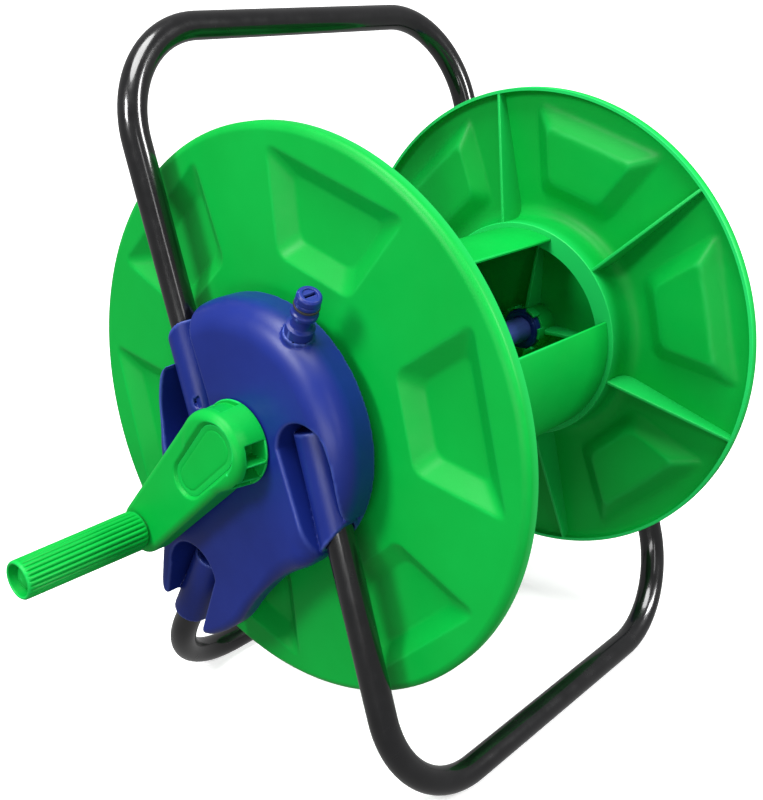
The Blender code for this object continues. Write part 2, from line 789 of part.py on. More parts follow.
def crank_point(along_mm, across_mm):
    """(y, z) of a place on the crank: along it from the reel's axis, and across it."""
    _, along, across = crank_axes()
    return tuple(along * along_mm + across * across_mm)


def egg_outline(near, far, across, big, small):
    """Two round ends along the crank, joined by tangents; all of it is moved sideways by across."""
    lean = math.asin((big - small) / (far - near))
    points = []
    for k in range(9):
        turn = math.pi / 2 - lean + (math.pi + 2 * lean) * k / 8
        points.append(crank_point(near + big * math.cos(turn), across + big * math.sin(turn)))
    for k in range(7):
        turn = -math.pi / 2 + lean + (math.pi - 2 * lean) * k / 6
        points.append(crank_point(far + small * math.cos(turn), across + small * math.sin(turn)))
    return points


def crank_outline(inset):
    length, _, _ = crank_axes()
    return egg_outline(0.0, length, 0.0, CRANK_HUB_RADIUS - inset, CRANK_TIP_RADIUS - inset)


def cap_outline(inset):
    """Outline of the recess and its cap, wide at the hub."""
    return egg_outline(CAP_NEAR, CAP_FAR, CAP_ACROSS, CAP_BIG - inset, CAP_SMALL - inset)


def crank_arm():
    """Crank: hollow arm, pocketed hub with the axle's flats, and the grip's spindle hole."""
    length, _, _ = crank_axes()
    body = loft([
        (-CRANK_FACE, crank_outline(6.0)), (-CRANK_FACE + 1.5, crank_outline(2.6)),
        (-CRANK_FACE + 5.0, crank_outline(0.7)), (-CRANK_BACK, crank_outline(0.0)),
    ])
    hub = revolve([
        (-CRANK_FACE, 0), (-CRANK_FACE, 21.5), (-CRANK_FACE + 1.5, 24.0), (-CRANK_FACE + 5.0, 25.8),
        (-CRANK_BACK, 27.8), (-CRANK_BACK, 0),
    ], 36)
    hub.data.transform(Matrix.Translation((0, *polar(*HUB_SHIFT))))
    unite(body, hub)
    hollow = loft([
        (-CRANK_FACE + 3.0, crank_outline(5.6)), (-CRANK_FACE + 7.0, crank_outline(3.4)),
        (-CRANK_BACK + 5.0, crank_outline(3.0)),
    ])
    cut(hollow, rod((-CRANK_FACE, 0, 0), (-CRANK_BACK + 9, 0, 0), 23.5, 24))
    tip_y, tip_z = CRANK_THROW
    cut(hollow, rod((-CRANK_FACE, tip_y, tip_z), (-180.0, tip_y, tip_z), 9.0, 20))
    cut(body, hollow)
    for start, end in HUB_WINDOWS:
        cut(body, hub_side_cut(20.0, 4, start, end))
    cut(body, hub_side_cut(24.8, 8, *HUB_POCKET))
    slope = [(-30.0, CRANK_BACK - 10), (28.0, CRANK_BACK), (length + 30, CRANK_BACK + 10)]
    wedge = [(x, s) for s, x in slope] + [(CRANK_BACK - 20, length + 30), (CRANK_BACK - 20, -30.0)]
    cut(body, crank_slab(wedge))
    cut(body, prism(cap_outline(0.0), -CRANK_FACE - 2, -CRANK_FACE + 3.0))
    cut(body, rod((-CRANK_FACE - 1, 0, 0), (-CRANK_SEAT, 0, 0), 6.2, 20))
    cut(body, rod((-CRANK_FACE - 1, 0, 0), (-180, 0, 0), 2.4, 12))
    key = rod((-AXLE_CRANK_END - 0.4, 0, 0), (-180, 0, 0), AXLE_RADIUS + 0.3, 32)
    for side in (-1, 1):
        low = min(side * (CRANK_FLAT + GAP), side * (CRANK_FLAT + GAP + 22.0))
        cut(key, box((-AXLE_CRANK_END - 2, low, -20), (-178, low + 22.0, 20)))
    cut(body, key)
    cut(body, rod((-CRANK_FACE - 2, tip_y, tip_z), (-180, tip_y, tip_z), SPINDLE_ROOT + GAP, 16))
    return body


def hub_side_cut(depth_radius, steps, start, end):
    """Tool that cuts the hub's side down to a radius, short of its back edge."""
    front = -207.0
    back = -CRANK_BACK - 1.7
    section = [(front, depth_radius), (back, depth_radius), (back, 34.0), (front, 34.0)]
    return revolve(section, steps, start, end - start)


def crank_slab(profile):
    """Thick slab across the crank from a profile of (outboard x, along) points."""
    bm = bmesh.new()
    rings = []
    for across in (-60.0, 60.0):
        ring = []
        for outboard, along in profile:
            y, z = crank_point(along, across)
            ring.append(bm.verts.new((-outboard, y, z)))
        rings.append(ring)
    for k in range(len(profile)):
        n = (k + 1) % len(profile)
        bm.faces.new((rings[0][k], rings[0][n], rings[1][n], rings[1][k]))
    bm.faces.new(rings[0])
    bm.faces.new(rings[1])
    return solid(bm)


def crank_cap():
    return prism(cap_outline(0.5), -CRANK_FACE + 0.8, -CRANK_FACE + 2.7)


def crank_washer():
    outer = -CRANK_SEAT - 0.9
    inner = -CRANK_SEAT - 0.2
    return revolve([(outer, 2.5), (inner, 2.5), (inner, 5.8), (outer, 5.8)], 16)


def crank_screw():
    seat = -CRANK_SEAT - 1.2
    profile = [
        (seat - 1.4, 0), (seat - 1.2, 3.4), (seat, 4.2), (seat, 2.0), (-195.0, 2.0), (-193.6, 0),
    ]
    return revolve(profile, 12)


def grip():
    """Fluted grip with a bore for its spindle and a hollow end."""
    start = GRIP_START + GAP
    stations = [
        (-start, GRIP_RADIUS - 2.4, 0.0), (-start - 2.0, GRIP_RADIUS - 0.5, 0.2),
        (-start - 5.0, GRIP_RADIUS, 0.8), (-GRIP_END + 4.0, GRIP_RADIUS - 0.9, 0.8),
        (-GRIP_END + 1.5, GRIP_RADIUS - 0.9, 0.0), (-GRIP_END, GRIP_RADIUS - 1.5, 0.0),
    ]
    sections = []
    for x, radius, flute in stations:
        outline = []
        for k in range(GRIP_POINTS):
            dip = flute if k % 2 == 0 else 0.0
            outline.append(polar(360.0 * k / GRIP_POINTS, radius - dip))
        sections.append((x, outline))
    body = loft(sections)
    bore = (SPINDLE_RADIUS + BEARING_CLEARANCE / 2) / math.cos(math.pi / SPINDLE_SEGMENTS)
    hollow = revolve([
        (-GRIP_END - 2, 0), (-GRIP_END - 2, 10.6),
        (-GRIP_END + GRIP_HOLLOW, 10.2), (-GRIP_END + GRIP_HOLLOW, bore),
        (-start + 2, bore), (-start + 2, 0),
    ], SPINDLE_SEGMENTS)
    cut(body, hollow)
    body.data.transform(Matrix.Translation((0, CRANK_THROW[0], CRANK_THROW[1])))
    return body


def grip_spindle():
    """Pin that the grip turns on, its domed head inside the grip's hollow end."""
    head = -GRIP_END + GRIP_HOLLOW - GAP
    profile = [
        (head - 5.0, 0), (head - 4.4, 4.6), (head - 2.6, 8.2), (head, 8.8), (head, SPINDLE_RADIUS),
        (-CRANK_FACE - GAP, SPINDLE_RADIUS), (-CRANK_FACE - GAP, SPINDLE_ROOT),
        (-197.0, SPINDLE_ROOT), (-197.0, 0),
    ]
    pin = revolve(profile, SPINDLE_SEGMENTS)
    pin.data.transform(Matrix.Translation((0, CRANK_THROW[0], CRANK_THROW[1])))
    return pin


def grip_washer():
    ring = revolve([
        (-GRIP_START + 0.1, SPINDLE_RADIUS + 0.2), (-CRANK_FACE - GAP, SPINDLE_RADIUS + 0.2),
        (-CRANK_FACE - GAP, 9.5), (-GRIP_START + 0.1, 9.5),
    ], 24)
    ring.data.transform(Matrix.Translation((0, CRANK_THROW[0], CRANK_THROW[1])))
    return ring


# ---------------------------------------------------------------- assembly


def build_water_way(stand, reel, materials):
    place(inlet_nipple(), "inlet_nipple", materials["blue_plastic"], stand)
    place(inlet_oring(), "inlet_oring", materials["black_rubber"], stand)
    place(water_manifold(), "water_manifold", materials["blue_plastic"], stand)
    seal_inner = manifold_seal(MANIFOLD_INNER, MANIFOLD_INNER + SEAL_LENGTH)
    seal_outer = manifold_seal(MANIFOLD_OUTER - SEAL_LENGTH, MANIFOLD_OUTER)
    place(seal_inner, "manifold_seal_inner", materials["black_rubber"], stand)
    place(seal_outer, "manifold_seal_outer", materials["black_rubber"], stand)
    place(axle_tube(), "axle_tube", materials["blue_plastic"], reel)
    place(axle_end_disc(), "axle_end_disc", materials["blue_plastic"], reel)
    place(outlet_tee(), "outlet_tee", materials["blue_plastic"], reel)
    place(outlet_nipple(), "outlet_nipple", materials["blue_plastic"], reel)
    place(outlet_oring(), "outlet_oring", materials["black_rubber"], reel)


def build_reel(reel, materials):
    place(flange(-1), "crank_side_flange", materials["green_plastic"], reel)
    place(flange(1), "far_side_flange", materials["green_plastic"], reel)
    place(drum_shell(), "drum_shell", materials["green_plastic"], reel)


def build_crank(reel, grip_axis, materials):
    place(crank_arm(), "crank_arm", materials["green_plastic"], reel)
    place(crank_cap(), "crank_cap", materials["green_plastic"], reel)
    place(crank_washer(), "crank_washer", materials["zinc_steel"], reel)
    place(crank_screw(), "crank_screw", materials["zinc_steel"], reel)
    place(grip_spindle(), "grip_spindle", materials["green_plastic"], reel)
    place(grip_washer(), "grip_washer", materials["white_acetal"], reel)
    place(grip(), "grip", materials["green_plastic"], grip_axis)


def main():
    for leftover in list(bpy.data.objects):
        bpy.data.objects.remove(leftover)
    materials = {name: make_material(name) for name in COLOURS}
    stand = axis_empty("stand_origin", (0.0, 0.0, 0.0))
    reel = axis_empty("reel_axis", (0.0, 0.0, 0.0))
    grip_axis = axis_empty("grip_axis", (-GRIP_START, CRANK_THROW[0], CRANK_THROW[1]))
    build_stand(stand, materials)
    build_water_way(stand, reel, materials)
    build_reel(reel, materials)
    build_crank(reel, grip_axis, materials)
    for material in materials.values():
        bpy.data.materials.remove(material)


main()
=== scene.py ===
"""Looks of the portable hose reel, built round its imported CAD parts.

Shapes are made in millimetres in the reel's frame: u is the distance outwards from the middle of the drum,
y is the rear and z is up, both from the reel's axis. Piece turns them into metres in the row frame.
Angles round the axis run from +z towards -y, in degrees. Most mouldings are signed distance fields.
"""

import json
import math

import bmesh
import bpy
import numpy as np
from mathutils import Matrix, Vector


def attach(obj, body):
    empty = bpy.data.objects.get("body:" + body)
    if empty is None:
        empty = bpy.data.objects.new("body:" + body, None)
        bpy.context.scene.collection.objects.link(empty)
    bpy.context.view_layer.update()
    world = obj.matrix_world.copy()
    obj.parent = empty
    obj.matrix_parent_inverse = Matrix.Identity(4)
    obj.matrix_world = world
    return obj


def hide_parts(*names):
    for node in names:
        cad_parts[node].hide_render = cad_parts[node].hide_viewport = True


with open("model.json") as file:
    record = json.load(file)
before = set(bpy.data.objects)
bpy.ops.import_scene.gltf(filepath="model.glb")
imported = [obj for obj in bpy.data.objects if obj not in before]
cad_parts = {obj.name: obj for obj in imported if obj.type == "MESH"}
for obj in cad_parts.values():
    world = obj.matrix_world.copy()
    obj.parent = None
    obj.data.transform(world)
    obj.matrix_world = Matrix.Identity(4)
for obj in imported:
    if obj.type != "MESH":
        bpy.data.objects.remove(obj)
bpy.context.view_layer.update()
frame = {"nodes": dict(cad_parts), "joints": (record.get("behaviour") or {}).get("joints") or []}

MM = 0.001
REEL_SPIN = next(joint for joint in frame["joints"] if joint["name"] == "reel_spin")
AXIS = Vector(REEL_SPIN["pos_m"])
FAR_OFFSET = 4.5

# Flange and drum
FLANGE_RADIUS = 190.0
FLANGE_FACE = 148.0
FLANGE_WALL = 2.8
LIP_EDGE = 137.3
RIM_DEPTH = 4.6
RIM_WIDTH = 4.8
COLLAR_RADIUS = 88.0
COLLAR_BORE = 73.0
COLLAR_END = 117.0
SECTORS = 6
SECTOR_TURN = 360.0 / SECTORS
RECESS_TURN = 16.0
RECESS_DEPTH = 9.0
RECESS_RUN = 13.0
RECESS_INNER = 105.0
RECESS_OUTER = 168.0
RECESS_HALF = 31.0
FLANK_NORMAL = (0.9244, 0.3815)
RIB_TURN = -13.0
RIB_THICKNESS = 2.6
SPOKES = 4
SPOKE_TURN = 2.0
SPOKE_FOOT = 146.2
DRUM_RADIUS = 84.0
DRUM_WALL = 2.8
DRUM_END = 116.7
WINDOW = (19.0, 74.0)

# Stand: each tube has its leg's start and its bar as (y, z), then the length of its sleeve
TUBE_RADIUS = 9.6
TUBE_WALL = 1.3
TUBE_SIDES = 48
BEND_RADIUS = 72.0
LEG_U = 170.0
HANDLE = ((42.0, -20.0), (126.2, 239.1), 84.0)
FRONT_FOOT = ((-50.5, 12.0), (-124.7, -238.1), 82.0)
REAR_FOOT = ((52.2, -108.5), (120.7, -238.1), 59.0)

# Bracket
BRACKET_BACK = 158.0
BRACKET_FACE = 190.0
BRACKET_WALL = 3.0
DOME_RADIUS = 88.0
TAIL_MARGIN = 5.0
TAIL_LIFT = 15.0
POCKET_FLOOR = 161.5
POCKET_WALL = 2.6
SLEEVE_RADIUS = 13.2
SOCKET_BORE = 10.1
BOSS_RADIUS = 18.2
CRANK_BOSS_BACK = 176.7
FAR_BOSS_BACK = 169.5
BEARING_BORE = 14.4
FAR_BEARING_END = 184.8
SCREW_SETBACK = 30.0
SCREW_HOLE = 2.3
SIGHT_HOLE = (44.9, 11.2)
SIGHT_HOLE_RADIUS = 3.5
SIGHT_HOLE_FLOOR = 180.3

# Water way
INLET_BASE = (176.0, 30.5, 86.0)
INLET_TILT = 0.19
INLET_BOSS = 9.6
INLET_BORE = 7.7
OUTLET_U = -77.0
OUTLET_ANGLE = 46.5

# Crank
CRANK_BACK = 190.9
CRANK_FACE = 214.5
CRANK_HUB = 24.5
CRANK_TIP = 18.0
CRANK_WALL = 3.0
CRANK_FACE_WALL = 3.4
CRANK_THROW = (74.5, -77.6)
UNDER_START = 28.0
UNDER_SLOPE = 0.0912
HUB_RADIUS = 27.9
HUB_DRAFT = 0.11
HUB_SHIFT = (90.0, 3.0)
HUB_CORE = 23.5
TIP_BOSS = 9.0
WASHER_BORE = 6.2
WASHER_SEAT = 208.8
AXLE_HOLE = 10.6
AXLE_FLATS = 8.3
AXLE_HOLE_END = 206.4
SCREW_BORE = 2.4
SPINDLE_BORE = 4.3
GRIP_LANDS = 24

# The panel in the crank: its near and far centres, its shift across the arm and its two radii
CAP = (-7.5, 30.5, -2.7, 17.0, 14.0)
CAP_DEPTH = 3.0

# Openings round the crank's hub: first and last angle, the radius they reach in to, and their top
OPENING_BOTTOM = 192.6
HUB_OPENINGS = (
    (73.0, 99.0, 17.5, 207.0), (102.0, 124.0, 17.5, 207.0), (127.0, 146.0, 17.5, 210.6),
    (149.0, 164.0, 17.5, 210.6), (-38.0, 17.0, 24.4, 207.0),
)

# The photograph's camera: yaw and pitch in radians, and its place from the middle of the reel in metres
CAMERA_AIM = (0.7177226, -0.3616588)
CAMERA_PLACE = (-0.618495, -0.494843, 0.271854)
CAMERA_LENS = 50.736


# ---------------------------------------------------------------- plane geometry


def polar(angle, radius):
    """The (y, z) place at an angle and radius round the axis."""
    turn = math.radians(angle)
    return (-radius * math.sin(turn), radius * math.cos(turn))


def arc(centre, radius, start, end, steps):
    """Points along an arc, from one angle to another."""
    points = []
    for k in range(steps + 1):
        y, z = polar(start + (end - start) * k / steps, radius)
        points.append((centre[0] + y, centre[1] + z))
    return points


def fillet(outline, radius, steps=5):
    """Round each corner of an outline; a corner with short sides gets a smaller radius."""
    eased = []
    count = len(outline)
    for k in range(count):
        corner = Vector(outline[k])
        back = Vector(outline[k - 1]) - corner
        ahead = Vector(outline[(k + 1) % count]) - corner
        reach = min(radius, 0.45 * back.length, 0.45 * ahead.length)
        start = corner + back.normalized() * reach
        end = corner + ahead.normalized() * reach
        for step in range(steps + 1):
            t = step / steps
            eased.append(tuple(start * (1 - t) ** 2 + corner * 2 * t * (1 - t) + end * t**2))
    return eased


def turned(radial, sideways, angle):
    """The (y, z) place reached by going out at an angle and then across it."""
    turn = math.radians(angle)
    y = -radial * math.sin(turn) - sideways * math.cos(turn)
    return (y, radial * math.cos(turn) - sideways * math.sin(turn))


def crank_frame():
    """The crank's throw, and unit vectors along and across its arm."""
    throw = Vector(CRANK_THROW)
    along = throw.normalized()
    return throw.length, along, Vector((-along.y, along.x))


CRANK_LENGTH, CRANK_ALONG, CRANK_ACROSS = crank_frame()


def crank_point(along, across):
    """The (y, z) place of a point given along and across the crank's arm."""
    return tuple(CRANK_ALONG * along + CRANK_ACROSS * across)


def cap_outline(inset):
    """Outline of the recess in the crank's face and of the panel in it."""
    near, far, across, big, small = CAP
    lean = math.asin((big - small) / (far - near))
    steps = 36
    points = []
    for start, sweep, middle, radius in (
        (math.pi / 2 - lean, math.pi + 2 * lean, near, big - inset),
        (-math.pi / 2 + lean, math.pi - 2 * lean, far, small - inset),
    ):
        for k in range(steps + 1):
            turn = start + sweep * k / steps
            points.append(crank_point(middle + radius * math.cos(turn), across + radius * math.sin(turn)))
    return points


def egg(along, side, near, far, big, small):
    """Signed distance to two round ends joined by tangents."""
    lean = (big - small) / (far - near)
    straight = math.sqrt(1.0 - lean * lean)
    reach = along - near
    k = straight * reach - lean * side
    flank = side * straight + reach * lean - big
    start = np.hypot(side, reach) - big
    end = np.hypot(side, along - far) - small
    return np.where(k < 0.0, start, np.where(k > straight * (far - near), end, flank))


# ---------------------------------------------------------------- distance fields


def smax(a, b, k):
    """The larger of two fields, blended where they are within k of each other."""
    h = np.clip(0.5 + 0.5 * (a - b) / k, 0.0, 1.0)
    return b + (a - b) * h + k * h * (1.0 - h)


def smin(a, b, k):
    """The smaller of two fields, blended in the same way."""
    return -smax(-a, -b, k)


def overlap(a, b, radius=0.0):
    """Where a and b both are, their common edge rounded to a radius."""
    p = a + radius
    q = b + radius
    outside = np.hypot(np.maximum(p, 0.0), np.maximum(q, 0.0))
    return outside + np.minimum(np.maximum(p, q), 0.0) - radius


def polygon(y, z, outline):
    """Signed distance to an outline in the (y, z) plane."""
    nearest = np.full(np.broadcast(y, z).shape, np.inf)
    inside = np.zeros(nearest.shape, bool)
    points = np.array(outline, float)
    for (ay, az), (by, bz) in zip(points, np.roll(points, -1, axis=0)):
        ey, ez = by - ay, bz - az
        if ey * ey + ez * ez < 1e-9:
            continue
        py, pz = y - ay, z - az
        t = np.clip((py * ey + pz * ez) / (ey * ey + ez * ez), 0.0, 1.0)
        nearest = np.minimum(nearest, (py - t * ey) ** 2 + (pz - t * ez) ** 2)
        if ez != 0.0:
            inside ^= ((az > z) != (bz > z)) & (py < ey * pz / ez)
    distance = np.sqrt(nearest)
    return np.where(inside, -distance, distance)


def rod(u, y, z, start, end, radius, edge=0.0):
    """Capped cylinder between two (u, y, z) places."""
    run = np.subtract(end, start)
    length = float(np.linalg.norm(run))
    way = run / length
    du, dy, dz = u - start[0], y - start[1], z - start[2]
    t = du * way[0] + dy * way[1] + dz * way[2]
    side = np.sqrt(np.maximum(du * du + dy * dy + dz * dz - t * t, 0.0)) - radius
    return overlap(side, np.abs(t - length / 2.0) - length / 2.0, edge)


CELL_EDGES = [
    (a, b) for a in range(8) for b in range(a + 1, 8) if bin(a ^ b).count("1") == 1
]


def nets(field, low, high, step):
    """Quads along a field's zero surface, their corners pulled onto it."""
    axes = [np.arange(a, b + step, step) for a, b in zip(low, high)]
    grid = field(axes[0][:, None, None], axes[1][None, :, None], axes[2][None, None, :])
    inside = grid < 0.0
    shape = np.array(grid.shape) - 1
    count = np.zeros(shape, np.int8)
    for corner in range(8):
        at = [(corner >> n) & 1 for n in range(3)]
        count += inside[tuple(slice(o, o + s) for o, s in zip(at, shape))]
    mixed = (count > 0) & (count < 8)
    cells = np.argwhere(mixed)
    index = np.full(tuple(shape), -1)
    index[mixed] = np.arange(len(cells))
    total = np.zeros((len(cells), 3))
    hits = np.zeros(len(cells))
    for a, b in CELL_EDGES:
        pa = np.array([(a >> n) & 1 for n in range(3)])
        pb = np.array([(b >> n) & 1 for n in range(3)])
        da = grid[tuple((cells + pa).T)]
        db = grid[tuple((cells + pb).T)]
        crossing = (da < 0.0) != (db < 0.0)
        t = np.where(crossing, da / np.where(crossing, da - db, 1.0), 0.0)
        total += np.where(crossing[:, None], pa + t[:, None] * (pb - pa), 0.0)
        hits += crossing
    points = np.array(low) + (cells + total / hits[:, None]) * step
    quads = []
    for axis in range(3):
        n1, n2 = (axis + 1) % 3, (axis + 2) % 3
        first = [slice(1, -1)] * 3
        second = [slice(1, -1)] * 3
        first[axis] = slice(0, -1)
        second[axis] = slice(1, None)
        a, b = inside[tuple(first)], inside[tuple(second)]
        base = np.argwhere(a != b)
        outward = a[a != b]
        base[:, n1] += 1
        base[:, n2] += 1
        ring = []
        for d1, d2 in ((-1, -1), (0, -1), (0, 0), (-1, 0)):
            cell = base.copy()
            cell[:, n1] += d1
            cell[:, n2] += d2
            ring.append(index[tuple(cell.T)])
        quad = np.stack(ring, axis=1)
        quads.append(np.where(outward[:, None], quad, quad[:, ::-1]))
    half = 0.5 * step
    for _ in range(2):
        slope = gradient(field, points)
        value = field(*points.T)
        shift = -(value / np.maximum((slope**2).sum(1), 0.25))[:, None] * slope
        points += np.clip(shift, -half, half)
    return points, np.concatenate(quads)


def gradient(field, points, reach=0.05):
    """Slope of a field at points, from its values a small reach to either side."""
    slope = np.zeros(points.shape)
    for axis in range(3):
        ahead = points.copy()
        behind = points.copy()
        ahead[:, axis] += reach
        behind[:, axis] -= reach
        slope[:, axis] = (field(*ahead.T) - field(*behind.T)) / (2.0 * reach)
    return slope


# ---------------------------------------------------------------- meshes


class Piece:
    """Closed shells, in (u, y, z) millimetres, that become one object."""

    def __init__(self, name):
        self.name = name
        self.points = []
        self.faces = []
        self.count = 0

    def add(self, points, faces):
        """Add one closed shell, turned so that its faces look outwards."""
        points = np.asarray(points, float)
        if volume(points, faces) > 0.0:
            faces = [tuple(face)[::-1] for face in faces]
        self.points.append(points)
        self.faces += [tuple(int(k) + self.count for k in face) for face in faces]
        self.count += len(points)
        return self

    def build(self, side, offset, angle=40.0, origin=(0.0, 0.0)):
        """The object in the row frame: side -1 is the crank's, +1 mirrors it over to the far side."""
        points = np.concatenate(self.points)
        place = np.empty(points.shape)
        place[:, 0] = side * points[:, 0] + offset
        place[:, 1] = points[:, 1] + origin[0]
        place[:, 2] = points[:, 2] + origin[1]
        place = place * MM + np.array(AXIS)
        faces = self.faces if side < 0 else [face[::-1] for face in self.faces]
        mesh = bpy.data.meshes.new(self.name)
        mesh.from_pydata(place.tolist(), [], faces)
        mesh.validate()
        mesh.shade_smooth()
        mesh.set_sharp_from_angle(angle=math.radians(angle))
        obj = bpy.data.objects.new(self.name, mesh)
        bpy.context.scene.collection.objects.link(obj)
        return obj


def volume(points, faces):
    """Signed volume of a closed shell in (u, y, z); it is negative once u is turned into -x."""
    total = 0.0
    by_size = {}
    for face in faces:
        by_size.setdefault(len(face), []).append(face)
    for size, group in by_size.items():
        corners = points[np.array(group)]
        for k in range(1, size - 1):
            total += np.einsum(
                "ij,ij->i", corners[:, 0], np.cross(corners[:, k], corners[:, k + 1])
            ).sum()
    return total


def rings_to_faces(rings, size, closed_ring=True, closed_loop=False):
    """Quads between consecutive rings of the same size, numbered one after another."""
    faces = []
    pairs = rings if closed_loop else rings - 1
    steps = size if closed_ring else size - 1
    for r in range(pairs):
        a = r * size
        b = ((r + 1) % rings) * size
        for k in range(steps):
            n = (k + 1) % size
            faces.append((a + k, a + n, b + n, b + k))
    return faces


def lathe(piece, profile, segments=96, edge=0.0, wave=None):
    """Add a closed (u, r) profile turned round the axis; wave may change each radius."""
    outline = fillet(profile, edge, 4) if edge else profile
    turns = np.radians(np.arange(segments) * 360.0 / segments)
    points = []
    for u, r in outline:
        radius = np.full(segments, float(r))
        if wave is not None:
            radius = wave(u, radius, turns)
        ring = np.stack([np.full(segments, u), -radius * np.sin(turns), radius * np.cos(turns)], 1)
        points.append(ring)
    faces = rings_to_faces(len(outline), segments, closed_loop=True)
    return piece.add(np.concatenate(points), faces)


def capped(piece, sections):
    """Add a shell through outlines [(u, outline), ...], closed by a face at each end."""
    size = len(sections[0][1])
    points = [(u, y, z) for u, outline in sections for y, z in outline]
    faces = rings_to_faces(len(sections), size)
    faces.append(tuple(range(size)))
    faces.append(tuple(range((len(sections) - 1) * size, len(sections) * size))[::-1])
    return piece.add(points, faces)


def bevelled(piece, points, faces, width, segments=3):
    """Add a closed flat-sided shell with its sharp edges rounded."""
    bm = bmesh.new()
    verts = [bm.verts.new(point) for point in points]
    for face in faces:
        bm.faces.new([verts[k] for k in face])
    bmesh.ops.recalc_face_normals(bm, faces=bm.faces)
    sharp = [e for e in bm.edges if e.calc_face_angle(0.0) > math.radians(30)]
    bmesh.ops.bevel(
        bm, geom=sharp, offset=width, segments=segments, profile=0.5, affect="EDGES",
        clamp_overlap=True,
    )
    bm.verts.index_update()
    shape = [tuple(v.co) for v in bm.verts]
    shell = [tuple(v.index for v in face.verts) for face in bm.faces]
    bm.free()
    return piece.add(shape, shell)


def plate(piece, profile, thickness, angle, width):
    """Add a radial plate from a profile of (u, r) points; thickness is a function of r."""
    points = []
    for sign in (-1.0, 1.0):
        for u, r in profile:
            y, z = turned(r, sign * thickness(r) / 2.0, angle)
            points.append((u, y, z))
    size = len(profile)
    faces = rings_to_faces(2, size)
    faces.append(tuple(range(size)))
    faces.append(tuple(range(size, 2 * size))[::-1])
    return bevelled(piece, points, faces, width)


def sector(piece, profile, start, sweep, steps, width):
    """Add part of a ring from a closed (u, r) profile, its edges rounded."""
    points = []
    for k in range(steps + 1):
        for u, r in profile:
            y, z = polar(start + sweep * k / steps, r)
            points.append((u, y, z))
    size = len(profile)
    faces = rings_to_faces(steps + 1, size)
    faces.append(tuple(range(size)))
    faces.append(tuple(range(steps * size, (steps + 1) * size))[::-1])
    return bevelled(piece, points, faces, width)


def along_axis(piece, origin, direction):
    """Carry the last shell, made along u, so that it starts at origin and runs along direction."""
    turn = Vector((1, 0, 0)).rotation_difference(Vector(direction).normalized())
    carry = Matrix.Translation(origin) @ turn.to_matrix().to_4x4()
    points = piece.points[-1]
    piece.points[-1] = points @ np.array(carry.to_3x3()).T + np.array(carry.translation)
    return piece


def field_piece(name, field, low, high, step):
    """A piece whose surface is the zero of a field."""
    piece = Piece(name)
    points, quads = nets(field, low, high, step)
    piece.add(points, quads)
    piece.field = field
    return piece


def shade_by_field(obj, piece, side, offset):
    """Take the shading normals from the field, so that a fine highlight has no facets."""
    place = np.array([v.co for v in obj.data.vertices])
    points = (place - np.array(AXIS)) / MM
    points[:, 0] = (points[:, 0] - offset) * side
    slope = gradient(piece.field, points, 0.15)
    slope[:, 0] *= side
    length = np.linalg.norm(slope, axis=1, keepdims=True)
    slope /= np.maximum(length, 1e-6)
    obj.data.normals_split_custom_set_from_vertices(slope.tolist())
    return obj


# ---------------------------------------------------------------- finishes


class Finish:
    """Small helper that writes a material's nodes from left to right."""

    def __init__(self, name):
        self.material = bpy.data.materials.new(name)
        self.material.use_nodes = True
        self.tree = self.material.node_tree
        self.shader = self.tree.nodes["Principled BSDF"]
        self.place = self.tree.nodes.new("ShaderNodeTexCoord").outputs["Object"]

    def feed(self, socket, value):
        """Link a socket to another node's output, or set its constant."""
        if isinstance(value, bpy.types.NodeSocket):
            self.tree.links.new(value, socket)
        else:
            socket.default_value = value

    def node(self, kind, **inputs):
        node = self.tree.nodes.new(kind)
        for name, value in inputs.items():
            self.feed(node.inputs[name.replace("_", " ")], value)
        return node

    def stretched(self, scale):
        """Object coordinates scaled unevenly, for a texture that runs one way."""
        return self.node("ShaderNodeMapping", Vector=self.place, Scale=scale).outputs["Vector"]

    def noise(self, scale, detail=3.0, rough=0.5, vector=None):
        node = self.node(
            "ShaderNodeTexNoise", Vector=vector or self.place, Scale=scale, Detail=detail,
            Roughness=rough,
        )
        return node.outputs["Fac"]

    def ramp(self, value, low, high, start, end):
        node = self.node(
            "ShaderNodeMapRange", Value=value, From_Min=low, From_Max=high, To_Min=start, To_Max=end
        )
        return node.outputs["Result"]

    def math(self, operation, a, b):
        node = self.tree.nodes.new("ShaderNodeMath")
        node.operation = operation
        self.feed(node.inputs[0], a)
        self.feed(node.inputs[1], b)
        return node.outputs[0]

    def blend(self, share, a, b):
        """Colour a where share is 0 and b where it is 1."""
        node = self.tree.nodes.new("ShaderNodeMix")
        node.data_type = "RGBA"
        for place, value in ((0, share), (6, a), (7, b)):
            self.feed(node.inputs[place], value)
        return node.outputs[2]

    def edges(self, low, high):
        """1 on outer edges, 0 elsewhere."""
        geometry = self.tree.nodes.new("ShaderNodeNewGeometry")
        return self.ramp(geometry.outputs["Pointiness"], low, high, 0.0, 1.0)

    def bump(self, height, distance, strength=1.0, under=None):
        node = self.node("ShaderNodeBump", Height=height, Distance=distance, Strength=strength)
        if under is not None:
            self.tree.links.new(under, node.inputs["Normal"])
        return node.outputs["Normal"]

    def set(self, **inputs):
        for name, value in inputs.items():
            self.feed(self.shader.inputs[name.replace("_", " ")], value)


